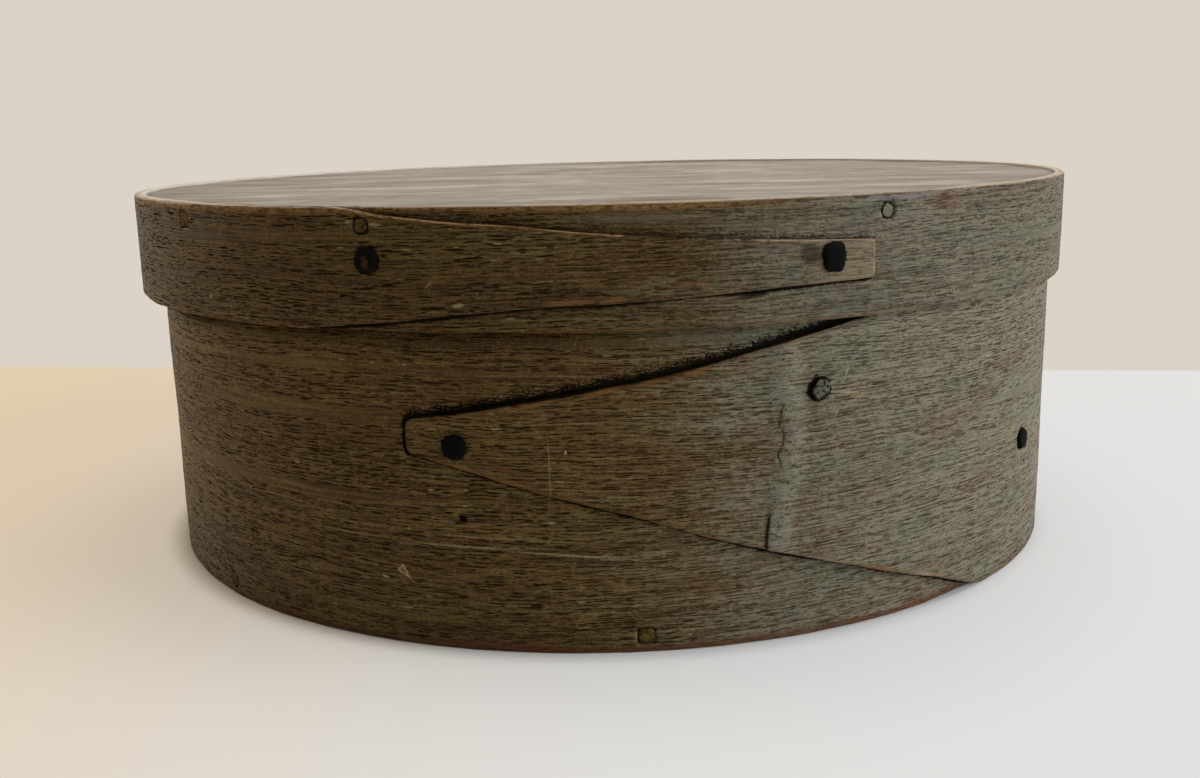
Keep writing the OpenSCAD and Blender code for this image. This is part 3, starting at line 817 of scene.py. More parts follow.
def tack(strip, at, z, outline):
    """Points of a tack as rings from the crown of its head to its bent point.

    A ring is carried along the shank and round the bend, wide and uneven in the head and round below it."""
    stretch_x, stretch_z, square, tilted, uneven, seed = outline
    fittings = settings("fittings")
    rng = np.random.default_rng(seed)
    turn = np.linspace(0, TAU, 41)[None, :-1]
    head, high = fittings.head_diameter / 2, fittings.head_height
    skin = strip.skin(at, z)
    wall = skin - strip.inner + fittings.stand
    head_width, head_out = np.array(HEAD_PROFILE).T
    head_out = head_out * high
    bend_radius, point_diameter = 0.5 * MM, 0.25 * MM
    shank_out = np.linspace(-0.4 * MM, -wall + bend_radius, 8)
    bend = np.linspace(0, math.pi / 2 + fittings.clinch_lean, 9)[1:]
    tail = np.linspace(0, fittings.clinch - bend_radius, 7)[1:]
    lean = bend[-1]
    out = np.concatenate([
        head_out, shank_out, shank_out[-1] - bend_radius * np.sin(bend),
        shank_out[-1] - bend_radius * math.sin(lean) - tail * math.cos(lean)])
    drop = np.concatenate([
        0 * head_out, 0 * shank_out, bend_radius * (1 - np.cos(bend)),
        bend_radius * (1 - math.cos(lean)) + tail * math.sin(lean)])
    tilt = np.concatenate([0 * head_out, 0 * shank_out, bend, np.full(len(tail), lean)])
    shank = np.concatenate([
        np.linspace(fittings.shank_diameter, fittings.bend_diameter, len(shank_out)),
        np.full(len(bend), fittings.bend_diameter),
        np.linspace(fittings.bend_diameter, point_diameter, len(tail))]) / 2
    lumps = sum(
        rng.normal() * np.sin(n * turn + rng.uniform(0, TAU)) for n in (2, 3, 5, 7, 9)) * uneven
    tilted_turn = turn + strip.side * math.radians(tilted)
    shape = np.concatenate([
        head_width[:, None] * head * (1 + lumps) / peg_width(
            np.cos(tilted_turn) / stretch_x, np.sin(tilted_turn) / stretch_z, square),
        shank[:, None] * np.ones_like(turn)])
    across, up = shape * np.cos(turn), shape * np.sin(turn)
    in_head = np.concatenate([np.ones(len(head_out)), np.zeros(len(shank))])[:, None]
    crown = 1 - smooth((np.hypot(across, up) - 0.7 * head) / (0.4 * head))
    beaten = ripple(3.2 * MM, 3.2 * MM, across, up, seed) * 0.05 * MM * in_head * crown
    out, drop, tilt = out[:, None], drop[:, None], tilt[:, None]
    radius = skin + out + beaten + up * np.sin(tilt)
    height = z - drop + up * np.cos(tilt)
    points = strip.point(np.hypot(radius, across), at + np.arctan2(across, radius), height)
    rim = np.concatenate([head_width[:-1], np.full(1 + len(shank), 1.2)])
    return points, points[[0, -1]].mean(axis=1), {"rim": ring_values(rim, turn)}


# Meshes

def closed_mesh(name, points, poles=None, values=None):
    """A closed mesh from rings of points: quads between the rings, and fans to two poles or two flat caps."""
    rings, count = points.shape[:2]
    index = np.arange(rings * count).reshape(rings, count)
    quads = np.stack([
        index[:-1], np.roll(index[:-1], -1, 1), np.roll(index[1:], -1, 1), index[1:]], -1).reshape(-1, 4)
    vertices = points.reshape(-1, 3)
    if poles is None:
        ends = [index[0][::-1].tolist(), index[-1].tolist()]
    else:
        first, last = rings * count, rings * count + 1
        vertices = np.concatenate([vertices, poles])
        ends = np.concatenate([
            np.stack([np.full(count, first), np.roll(index[0], -1), index[0]], -1),
            np.stack([np.full(count, last), index[-1], np.roll(index[-1], -1)], -1)]).tolist()
    a, b, c, d = (vertices[quads[:, i]] for i in range(4))
    volume = np.einsum("ij,ij->", a + b + c + d, np.cross(c - a, d - b))
    faces = quads.tolist() + ends
    if volume < 0:
        faces = [face[::-1] for face in faces]
    mesh = bpy.data.meshes.new(name)
    mesh.from_pydata(vertices, [], faces)
    mesh.shade_smooth()
    if poles is None:
        for polygon in mesh.polygons[-2:]:
            polygon.use_smooth = False
    for key, value in (values or {}).items():
        vector = value.ndim == 3
        data = mesh.attributes.new(key, "FLOAT_VECTOR" if vector else "FLOAT", "POINT").data
        data.foreach_set("vector" if vector else "value", np.ascontiguousarray(value, np.float32).ravel())
    mesh.update()
    return mesh


def add_piece(node, finish, mesh, material, body):
    """Puts a mesh in the scene as the piece that stands for a node of the frame."""
    piece = bpy.data.objects.new(f"{finish}_{node}", mesh)
    bpy.context.scene.collection.objects.link(piece)
    piece.data.materials.append(material)
    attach(piece, body)
    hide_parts(node)


# Finishes

# Half depth of a mark, so large that depth plays no part
ANY_DEPTH = 1e6


class Steps:
    """A node tree under construction: small steps that each add a node and give back its output."""

    def __init__(self, owner):
        owner.use_nodes = True
        self.tree = owner.node_tree
        self.tree.nodes.clear()

    def node(self, kind, inputs=(), **options):
        """Adds a node, sets its options, and links or sets its inputs."""
        made = self.tree.nodes.new("ShaderNode" + kind)
        for key, value in options.items():
            setattr(made, key, value)
        for key, value in dict(inputs).items():
            self.feed(made.inputs[key], value)
        return made

    def feed(self, socket, value):
        """Links an output to a socket, or sets the socket's own value."""
        if isinstance(value, bpy.types.NodeSocket):
            self.tree.links.new(value, socket)
        elif socket.type == "RGBA":
            socket.default_value = (*value, 1)
        else:
            socket.default_value = value

    def value(self, name):
        """A number carried by the mesh."""
        return self.node("Attribute", attribute_name=name).outputs["Fac"]

    def vector(self, name):
        """A vector carried by the mesh."""
        return self.node("Attribute", attribute_name=name).outputs["Vector"]

    def place(self):
        """The point's place in the frame, in mm."""
        return self.scaled(self.node("TexCoord").outputs["Object"], 1 / MM)

    def seen(self):
        """1 for the rays that show a background: those of the camera, of gloss and of glass."""
        path = self.node("LightPath").outputs
        return self.most(path["Is Camera Ray"], path["Is Glossy Ray"], path["Is Transmission Ray"])

    def calc(self, operation, first, second=0.0):
        """One sum."""
        return self.node("Math", {0: first, 1: second}, operation=operation).outputs[0]

    def times(self, *values):
        """The product of some values."""
        return functools.reduce(functools.partial(self.calc, "MULTIPLY"), values)

    def plus(self, *values):
        """The sum of some values."""
        return functools.reduce(functools.partial(self.calc, "ADD"), values)

    def most(self, *values):
        """The greatest of some values."""
        return functools.reduce(functools.partial(self.calc, "MAXIMUM"), values)

    def minus(self, first, second):
        """The first value less the second."""
        return self.calc("SUBTRACT", first, second)

    def magnitude(self, value):
        """A value without its sign."""
        return self.calc("ABSOLUTE", value)

    def rest(self, value):
        """What a share leaves of the whole."""
        return self.minus(1.0, value)

    def stray(self, noise, spread):
        """A noise turned into a length about zero, over that spread."""
        return self.times(self.minus(noise, 0.5), spread)

    def vectors(self, operation, *inputs):
        """One sum of vectors."""
        return self.node("VectorMath", dict(enumerate(inputs)), operation=operation).outputs[0]

    def scaled(self, vector, factor):
        """A vector or colour times a number."""
        return self.node("VectorMath", {0: vector, "Scale": factor}, operation="SCALE").outputs[0]

    def far(self, vector):
        """Length of a vector."""
        return self.node("VectorMath", {0: vector}, operation="LENGTH").outputs["Value"]

    def from_axis(self, place):
        """Distance of a place from the box's axis."""
        return self.far(self.vectors("MULTIPLY", place, (1, 1, 0)))

    def parts(self, vector):
        """The three numbers of a vector."""
        return self.node("SeparateXYZ", {0: vector}).outputs

    def joined(self, **parts):
        """A vector from some of its three numbers."""
        return self.node("CombineXYZ", parts).outputs[0]

    def mapped(self, vector, place=(0, 0, 0), turn=0.0, scale=(1, 1, 1), **options):
        """A vector scaled, turned round Z and moved."""
        return self.node("Mapping", {
            "Vector": vector, "Location": place, "Rotation": (0, 0, turn), "Scale": scale},
            **options).outputs[0]

    def lumps(self, vector, size, seed, detail=2.0, rough=0.5):
        """Noise whose lumps have that size, in the vector's units, as a number and as a colour."""
        moved = self.mapped(
            vector, (7.3 * seed, 3.1 * seed, 5.7 * seed), scale=tuple(1 / x for x in size))
        return self.node("TexNoise", {
            "Vector": moved, "Scale": 1.0, "Detail": detail, "Roughness": rough}).outputs

    def noise(self, vector, size, seed, detail=2.0, rough=0.5):
        """Cloudy noise as a number."""
        return self.lumps(vector, size, seed, detail, rough)["Fac"]

    def shift(self, vector, amount, size, seed):
        """The vector moved about by a soft noise, up to that amount each way."""
        centred = self.vectors("SUBTRACT", self.lumps(vector, size, seed)["Color"], (0.5, 0.5, 0.5))
        return self.vectors("MULTIPLY_ADD", centred, tuple(2 * x for x in amount), vector)

    def dashes(self, vector, cell, half, seed, sparse=0.0, turn=0.0):
        """Short dashes, one to a cell, of random length and strength: the distance from the cell's own
        point is measured in half dashes. A sparse pattern leaves that share of its cells empty."""
        moved = self.mapped(vector, (4.7 * seed, 9.1 * seed, 0), turn, (1 / cell[0], 1 / cell[1], 0))
        cells = self.node("TexVoronoi", {"Vector": moved, "Scale": 1.0}, voronoi_dimensions="2D").outputs
        chance = self.node("SeparateColor", {0: cells["Color"]}).outputs
        off = self.vectors("SUBTRACT", moved, cells["Position"])
        off = self.vectors("MULTIPLY", off, (cell[0] / half[0], cell[1] / half[1], 0))
        long = self.plus(self.times(chance["Red"], 0.9), 0.35)
        shown = self.rise(chance["Green"], sparse, sparse + 0.6 * (1 - sparse))
        return self.times(self.fall(self.calc("DIVIDE", self.far(off), long), 0.60, 1.0), shown)

    def ramp(self, value, low, high, first, last):
        """first below low and last above high, smoothly between."""
        return self.node("MapRange", {
            "Value": value, "From Min": low, "From Max": high, "To Min": first, "To Max": last},
            interpolation_type="SMOOTHSTEP").outputs["Result"]

    def rise(self, value, low, high, top=1.0):
        """0 below low and top above high, smoothly between."""
        return self.ramp(value, low, high, 0.0, top)

    def fall(self, value, low, high, top=1.0):
        """top below low and 0 above high, smoothly between."""
        return self.ramp(value, low, high, top, 0.0)

    def near(self, value, middle, low, high, top=1.0):
        """top within low of the middle and 0 beyond high of it, smoothly between."""
        return self.fall(self.magnitude(self.minus(value, middle)), low, high, top)

    def blend(self, amount, first, second):
        """Mixes two colours."""
        return self.node("Mix", {0: amount, 6: first, 7: second}, data_type="RGBA").outputs[2]

    def mark(self, vector, middle, size, turn, shape):
        """Mask of one small mark, found by its own coordinates round its middle, whatever the depth. A
        triangle's two sloping sides stand at 60 degrees."""
        local = self.mapped(
            vector, (*middle, 0), math.radians(turn), (*size, ANY_DEPTH), vector_type="TEXTURE")
        if shape == "spot":
            return self.fall(self.far(local), 0.45, 1.0)
        x, y, _ = self.parts(local)
        beside = self.magnitude(x)
        if shape == "square":
            return self.fall(self.most(beside, self.magnitude(y)), 0.8, 1.0)
        slope = self.plus(self.times(beside, 0.87), self.times(y, 0.5))
        return self.fall(self.most(slope, self.times(y, -1.0)), 0.42, 0.52)


class Finish(Steps):
    """A material: tones laid one over the other on its skin, then a coat and fine relief."""

    def __init__(self, name):
        self.material = bpy.data.materials.new(name)
        super().__init__(self.material)
        self.tones = settings("finish")
        self.surface = self.node("BsdfPrincipled")
        self.output = self.node("OutputMaterial", {"Surface": self.surface.outputs["BSDF"]})

    def lay(self, amount, tone, strength=1.0):
        """Lays a tone over the skin."""
        tone = getattr(self.tones, tone) if isinstance(tone, str) else tone
        self.skin = self.blend(self.times(amount, strength), self.skin, tone)

    def coat(self, tone, rough, gloss):
        """Gives the surface its colour, roughness and gloss."""
        for key, value in (("Base Color", tone), ("Roughness", rough), ("Specular IOR Level", gloss)):
            self.feed(self.surface.inputs[key], value)

    def bump(self, height, depth, strength):
        """Fine relief below what the mesh carries."""
        made = self.node("Bump", {"Height": height, "Distance": depth, "Strength": strength})
        self.feed(self.surface.inputs["Normal"], made.outputs[0])


class PaintedOak(Finish):
    """Old thin paint over ring-porous oak: streaks along the strip, dark pores, rubbed edges, black laps.

    Each step lays tones over the skin's colour; black gathers the dirt and the painted shade, which have no
    gloss."""

    def __init__(self, strip):
        super().__init__("painted_oak_" + strip.name)
        self.strip = strip
        self.grain = self.vector("grain")
        self.along, self.height, self.depth = self.parts(self.grain)
        self.to_nose = self.minus(strip.length / MM, self.along)
        self.where = self.parts(self.place())
        # Towards the right the paint is painted paler and greyer: a painted sheen of the light from that side
        self.right = self.rise(self.where["X"], -20, 42)
        self.pattern()
        self.paint()
        self.black = self.value("inside")
        if strip.sizes.step > 0:
            self.creased()
        self.rubbed_edges()
        if strip.name == "lid":
            self.worn_rim()
            self.worn_tip()
        else:
            self.worn_foot()
        self.lap_soot_and_shade()
        self.marks()
        self.bare_inside()
        self.shine()

    def blacken(self, amount, strength=1.0):
        """Lays black over the skin: dirt, and in places painted shade."""
        self.lay(amount, "soot", strength)
        self.black = self.most(self.black, amount)

    def pattern(self):
        """Growth bands, pores, streaks and specks, drawn along the strip and swayed a little."""
        swayed = self.shift(self.grain, (0, 2.2, 0), (70, 40, 40), 1)
        swayed = self.shift(swayed, (0.6, 0.12, 0), (2.0, 1.0, 1.0), 2)
        bands = self.noise(swayed, (120, 3.0, 6), 2, 2.0)
        self.streaks = self.noise(swayed, (16, 0.42, 2), 5, 3.0, 0.6)
        self.patches = self.noise(swayed, (26, 9, 9), 6, 4.0, 0.6)
        self.mottle = self.noise(self.grain, (1.6, 0.9, 0.9), 7, 4.0, 0.7)
        self.grit = self.noise(self.grain, (0.55, 0.30, 0.3), 11, 2.0, 0.6)
        long_pores = self.dashes(swayed, (6.4, 0.62), (2.7, 0.11), 3)
        middling_pores = self.dashes(swayed, (3.7, 0.66), (1.7, 0.15), 12)
        short_pores = self.dashes(swayed, (2.1, 0.55), (0.80, 0.12), 4)
        pores = self.most(long_pores, middling_pores, short_pores)
        self.pores = self.times(pores, self.rise(bands, 0.22, 0.46))
        flecks = self.dashes(swayed, (5.5, 2.4), (0.8, 0.15), 8, 0.5)
        self.flecks = self.times(flecks, self.rise(self.patches, 0.45, 0.6))
        bent = self.shift(self.grain, (3, 3, 0), (9, 9, 9), 9)
        scrapes = self.dashes(bent, (17, 13), (1.8, 0.11), 9, 0.7, math.radians(62))
        self.scrapes = self.times(scrapes, self.rise(self.mottle, 0.46, 0.58))

    def paint(self):
        """Paint lies thicker in patches and wears along the grain; towards the right it is painted paler and
        greyer, a painted sheen of the light from that side.
        """
        tones, right = self.tones, self.right
        cover = self.plus(
            self.times(self.patches, 0.8), self.times(self.streaks, 0.5), self.times(self.mottle, 0.5))
        # The paint's colour is painted paler towards the right, a painted sheen
        whole = self.blend(right, tones.paint, tones.pale_paint)
        greener = self.rise(self.noise(self.grain, (14, 6, 6), 13, 3.0), 0.44, 0.64, 0.85)
        whole = self.blend(self.times(greener, right), whole, tones.green_paint)
        self.skin = self.blend(self.rise(cover, 0.75, 1.05), tones.oak, tones.thin_paint)
        self.lay(self.rise(self.plus(cover, self.times(right, 0.45)), 0.95, 1.40), whole)
        self.lay(self.fall(self.streaks, 0.36, 0.54), "dark_oak", self.plus(self.times(right, -0.25), 0.68))
        self.lay(self.rise(self.streaks, 0.54, 0.72), "flake", 0.24)
        self.lay(self.fall(self.mottle, 0.30, 0.46), "dark_oak", 0.50)
        self.lay(self.fall(self.grit, 0.32, 0.48), "dark_oak", 0.55)
        self.lay(self.rise(self.grit, 0.54, 0.70), "flake", 0.22)
        filled = self.times(right, PORES_FILLED[self.strip.name])
        self.lay(self.times(self.pores, self.rest(filled)), "pore")
        self.lay(self.flecks, "flake", 0.75)
        self.lay(self.scrapes, "flake", 0.5)
        # The whole lid is made darker
        if self.strip.name == "lid":
            self.skin = self.scaled(self.skin, tones.lid_shade)

    def creased(self):
        """Chalky rubbed paint on the crease's lip with a painted highlight of the lip catching the light, and
        dirt where it has cracked.
        """
        crease = self.value("crease")
        ragged = self.plus(crease, self.stray(self.mottle, 5.0), self.stray(self.grit, 5.0))
        on_lip = self.times(self.rise(ragged, -2.0, 0.8), self.fall(ragged, 2.2, 6.5))
        self.lay(self.times(on_lip, self.rise(self.plus(self.grit, self.mottle), 0.80, 1.15)), "chalk", 0.75)
        upper = self.near(self.height, CRACKS["upper"][0], 5.0, 6.5, 0.8)
        lower = self.near(self.height, CRACKS["lower"][0], 3.2, 4.2)
        crack = self.near(self.plus(crease, self.stray(self.grit, 0.5)), 0.0, 0.06, 0.24)
        open_part = self.most(self.times(upper, self.rise(self.mottle, 0.38, 0.54)), lower)
        self.lay(self.times(crack, open_part), "pore", 0.95)

    def rubbed_edges(self):
        """Edges rubbed red and orange; a finger's corners are black, or in patches where it is held bare wood
        with
        a painted highlight: on the lid along its upper edge, on the base towards the right."""
        tones = self.tones
        rub = self.plus(self.value("edge"), self.stray(self.patches, 4.0), self.stray(self.streaks, 1.6))
        broken = self.times(
            self.rise(self.plus(self.streaks, self.grit), 0.80, 1.15), self.rise(self.patches, 0.38, 0.58))
        rubbed = self.blend(self.rise(self.mottle, 0.50, 0.68), tones.worn_edge, tones.rubbed_edge)
        self.lay(self.times(self.fall(rub, 0.2, 1.4), broken), rubbed, 0.8)
        sunk, finger = self.value("sunk"), self.value("finger")
        middle = (self.strip.sizes.low_edge + self.strip.sizes.nose_height) / MM
        upper = self.rise(self.height, middle - 0.5, middle + 0.5)
        held = upper if self.strip.name == "lid" else self.right
        corner = self.times(finger, self.rise(sunk, 0.03, 0.16))
        patchy = self.times(held, self.rise(self.plus(self.mottle, self.patches), 0.90, 1.10))
        bare = self.blend(self.right, tones.golden_wood, tones.bare_rim)
        self.blacken(self.times(corner, self.rest(held)), 0.92)
        self.blacken(self.times(corner, held, self.rest(patchy)), 0.45)
        # Bare wood in patches along the corner, with a painted highlight of the edge
        self.lay(self.times(corner, patchy), bare, 0.65)
        self.blacken(self.times(finger, self.rise(sunk, 0.32, 0.55)), 0.9)

    def worn_rim(self):
        """The lid's rim: bare on top, black in the gap to the board at the front, as dirt and a painted
        shadow of the gap, and rubbed orange just below.
        """
        rim = self.value("rim")
        below = self.plus(rim, self.stray(self.mottle, 1.4), self.stray(self.patches, 1.6))
        band = self.times(self.fall(below, 0.8, 1.5), self.fall(self.where["X"], 5, 45))
        rubbed = self.blend(self.rise(self.mottle, 0.40, 0.56), self.tones.worn_edge, self.tones.golden_wood)
        self.lay(band, rubbed, 0.65)
        pale = self.blend(0.5, self.tones.bare_rim, self.tones.pale_pine)
        self.lay(self.fall(self.plus(rim, self.stray(self.mottle, 0.4)), 0.12, 0.38), pale, 0.9)
        # At the front the rim's inner top edge is painted black: dirt, and a painted shadow of the gap to the
        # board
        gap = self.times(self.fall(rim, 0.10, 0.22), self.fall(self.depth, 0.95, 1.40))
        near = self.times(self.fall(self.where["Y"], -85, -60), self.rise(self.patches, 0.36, 0.50))
        self.blacken(self.times(gap, near), 0.85)

    def worn_tip(self):
        """The lid finger's tip, rubbed pale, with a painted highlight on its end."""
        finger = self.value("finger")
        ragged = self.plus(self.to_nose, self.stray(self.patches, 16.0), self.stray(self.streaks, 12.0))
        self.lay(self.times(finger, self.fall(ragged, 3, 15)), "bare_rim", 0.22)
        # A painted highlight along the tip's end
        end = self.times(self.fall(self.to_nose, 0.25, 0.7), self.rise(self.mottle, 0.36, 0.56))
        self.lay(self.times(finger, end), "bare_rim", 0.6)

    def worn_foot(self):
        """The base's foot, rubbed red, and black under the lid on the left: dirt, and a painted shadow of the
        lid's overhang.
        """
        foot = self.plus(self.height, self.stray(self.mottle, 1.6), self.stray(self.patches, 2.6))
        self.lay(self.fall(foot, 0.8, 1.9), "worn_edge", 0.7)
        # Black below the lid's rim, on the left only: dirt and a painted shadow of the lid
        under_lid_soot_and_shade = self.plus(self.height, self.stray(self.streaks, 12.0))
        self.blacken(self.times(self.rise(under_lid_soot_and_shade, 53.0, 57.5), self.rest(self.right)), 0.6)

    def lap_soot_and_shade(self):
        """Black dirt and painted shadow on the ring beside the finger: broad above it, growing to its root,
        and narrow below; on the lid the part above is a darker brown.
        """
        lap, above = self.value("lap"), self.value("above")
        ragged = self.plus(lap, self.stray(self.mottle, 2.6), self.stray(self.grit, 4.5))
        thin = self.noise(self.grain, (16, 60, 60), 14)
        neat = self.plus(lap, self.stray(self.mottle, 0.6), self.stray(self.grit, 0.4), self.stray(thin, 1.2))
        narrow = self.fall(neat, 0.30, 0.70)
        if self.strip.name == "base":
            nose = self.strip.along(self.strip.running(self.strip.nose)) / MM
            ahead = self.rise(self.along, nose - 0.5, nose + 0.5, -0.65)
            # Towards the right the black widens into the painted shadow of the gap under the lid
            widening = self.rise(self.where["X"], -40, 20, -0.5)
            fuzz = self.fall(self.plus(ragged, widening), 0.3, 1.8)
            broad = self.most(self.fall(self.plus(neat, widening, ahead), 0.25, 0.7), fuzz)
            narrow = self.fall(self.plus(neat, ahead), 0.30, 0.70)
            self.blacken(self.plus(self.times(above, broad), self.times(self.rest(above), narrow)), 0.97)
        else:
            self.lay(self.times(above, self.fall(ragged, 0.05, 1.2)), "pore", 0.65)
            self.blacken(self.times(self.rest(above), narrow), 0.97)
        stain = self.plus(self.value("tack"), self.stray(self.mottle, 1.2), self.stray(self.grit, 1.0))
        self.blacken(self.fall(stain, 0.05, 0.45), 0.9)

    def marks(self):
        """The chips, scratches and stains of the marks' list."""
        strip = self.strip
        shaken = self.shift(self.grain, (0.25, 0.25, 0), (0.45, 0.45, 0.45), 10)
        for layer, degrees, z, long, high, turn, shape, tone, strength in MARKS[strip.name]:
            s = strip.along(strip.running(strip.place(degrees), layer == "lap")) / MM
            spot = self.mark(shaken, (s, z), (long, high), -strip.side * turn, shape)
            if tone == "soot":
                self.blacken(spot, strength)
            else:
                self.lay(spot, tone, strength)

    def bare_inside(self):
        """The inside was never painted; just under the rim it is painted pale, a painted highlight that
        lightens the shaded inner wall.
        """
        tones = self.tones
        bare = self.blend(self.rise(self.streaks, 0.36, 0.66), tones.oak, tones.inside_oak)
        bare = self.blend(self.times(self.pores, 0.55), bare, tones.dark_oak)
        # Painted highlight: pale just under the rim
        bare = self.blend(self.fall(self.value("rim"), 0.6, 1.2), bare, tones.inner_rim_highlight)
        self.lay(self.value("inside"), bare)

    def shine(self):
        """A low sheen on the paint, none in pores and in the black of dirt and painted shade, and the relief
        of pores and streaks.
        """
        rough = self.plus(self.times(self.mottle, 0.25), 0.36, self.times(self.black, 0.3))
        gloss = self.fall(self.most(self.pores, self.black), 0.1, 0.8, 0.13)
        self.coat(self.skin, rough, gloss)
        relief = self.minus(self.times(self.streaks, 0.7), self.times(self.pores, 0.8))
        self.bump(self.plus(relief, self.times(self.mottle, 0.4)), 0.25 * MM, 0.6)


def aged_pine(name, turn, board_radius):
    """Grey-brown pine with growth lines along one direction, scuffs, dirt against the band, and painted shade
    towards the back left and near the rim.
    """
    f = Finish(name)
    place = f.place()
    turned = f.mapped(place, turn=math.radians(turn))
    swayed = f.vectors("ADD", turned, f.joined(Y=f.stray(f.noise(turned, (140, 40, 40), 1), 26.0)))
    lines = f.noise(swayed, (160, 4.0, 8), 2, 3.0, 0.6)
    fibres = f.noise(swayed, (30, 0.8, 2), 3, 3.0)
    clouds = f.noise(place, (50, 30, 30), 4, 4.0, 0.6)
    scoured = f.noise(swayed, (26, 11, 11), 6, 4.0, 0.65)
    mottle = f.noise(place, (3.5, 4.5, 2.0), 5, 4.0, 0.7)
    f.skin = f.tones.pine
    f.lay(f.rise(lines, 0.46, 0.60), "pine_line", 0.75)
    f.lay(f.rise(fibres, 0.50, 0.70), "pine_line", 0.50)
    f.lay(f.rise(clouds, 0.46, 0.66), "pine_line", 0.65)
    f.lay(f.rise(scoured, 0.50, 0.64), "pale_pine", 0.70)
    f.lay(f.rise(mottle, 0.54, 0.70), "pale_pine", 0.55)
    f.lay(f.fall(mottle, 0.28, 0.44), "pine_line", 0.7)
    x, y, _ = f.parts(place)
    # Painted shade: the board is darker towards the back left
    back_left_shade = f.times(f.fall(x, -95, -10), f.rise(y, -70, 40))
    f.lay(f.times(back_left_shade, f.rise(lines, 0.35, 0.60)), "pine_line", 0.7)
    out = f.from_axis(place)
    # Painted shade: the board darkens towards the rim
    f.lay(f.rise(f.plus(out, f.stray(mottle, 12.0)), 80, 100), "pine_line", 0.6)
    grubby = f.plus(out, f.times(clouds, 5.0))
    f.lay(f.rise(grubby, board_radius, board_radius + 4.0), "pore", 0.75)
    gloss = f.plus(f.times(scoured, 0.9), f.times(mottle, 0.5), f.times(lines, -0.5), -0.15)
    f.coat(f.skin, f.plus(f.times(mottle, 0.4), 0.30), f.rise(gloss, 0.0, 0.6, 0.65))
    f.bump(f.minus(f.times(mottle, 0.4), f.times(fibres, 0.9)), 0.25 * MM, 0.5)
    return f.material


def forged_iron(name, painted):
    """Blackened iron, pitted and rusty, with brown scale on one head; another still holds the box's paint."""
    f = Finish(name)
    place = f.place()
    pits = f.noise(place, (0.7, 0.7, 0.7), 1, 3.0, 0.6)
    stains = f.noise(place, (2.0, 2.0, 2.0), 2, 3.0)
    f.skin = f.tones.iron
    f.lay(f.rise(stains, 0.55, 0.75), "rust", 0.5)
    x, _, z = f.parts(place)
    shaken = f.shift(f.joined(X=x, Y=z), (0.5, 0.5, 0), (0.9, 0.9, 0.9), 3)
    scale = f.mark(shaken, *HEEL_SCALE, "spot")
    f.lay(f.times(scale, f.rise(pits, 0.36, 0.60)), "oak", 0.5)
    if painted:
        f.lay(f.rise(pits, 0.34, 0.58), "green_paint", 0.7)
        rim = f.plus(f.value("rim"), f.stray(stains, 0.9))
        f.lay(f.rise(rim, 0.74, 0.95), "soot")
    f.coat(f.skin, f.plus(f.times(pits, 0.4), 0.5), 0.03)
    f.bump(pits, 0.25 * MM, 0.6)
    return f.material


def peg_wood():
    """End grain of a whittled peg under the box's paint, with dirt and a painted shadow of the gap round its
    rim.
    """
    f = Finish("peg_wood")
    place = f.place()
    specks = f.noise(place, (0.35, 0.35, 0.35), 1, 2.0)
    clouds = f.noise(place, (1.6, 1.6, 1.6), 2, 3.0)
    x = f.parts(place)["X"]
    f.skin = f.tones.dark_oak
    f.lay(f.rise(clouds, 0.40, 0.62), "thin_paint")
    # Greener towards the right, a painted sheen like the bands'; darker towards the left
    f.lay(f.rise(x, 20, 55), "green_paint", 0.8)
    f.lay(f.fall(x, -30, 20), "dark_oak", 0.15)
    f.lay(f.rise(specks, 0.52, 0.66), "dark_oak", 0.7)
    f.lay(f.fall(specks, 0.28, 0.38), "flake", 0.5)
    # The rim is painted dark: dirt, and a painted shadow of the gap round the peg
    rim_dirt_and_shade = f.value("dirt")
    rim = f.plus(f.value("rim"), f.stray(clouds, 0.6), f.times(rim_dirt_and_shade, 0.12))
    f.lay(f.calc("MINIMUM", f.times(f.rise(rim, 0.90, 1.08), rim_dirt_and_shade), 1.0), "soot")
    f.lay(f.rise(f.value("deep"), 0.2, 0.6), "oak")
    f.coat(f.skin, f.plus(f.times(clouds, 0.3), 0.5), 0.1)
    f.bump(specks, 0.2 * MM, 0.6)
    return f.material


# Operators

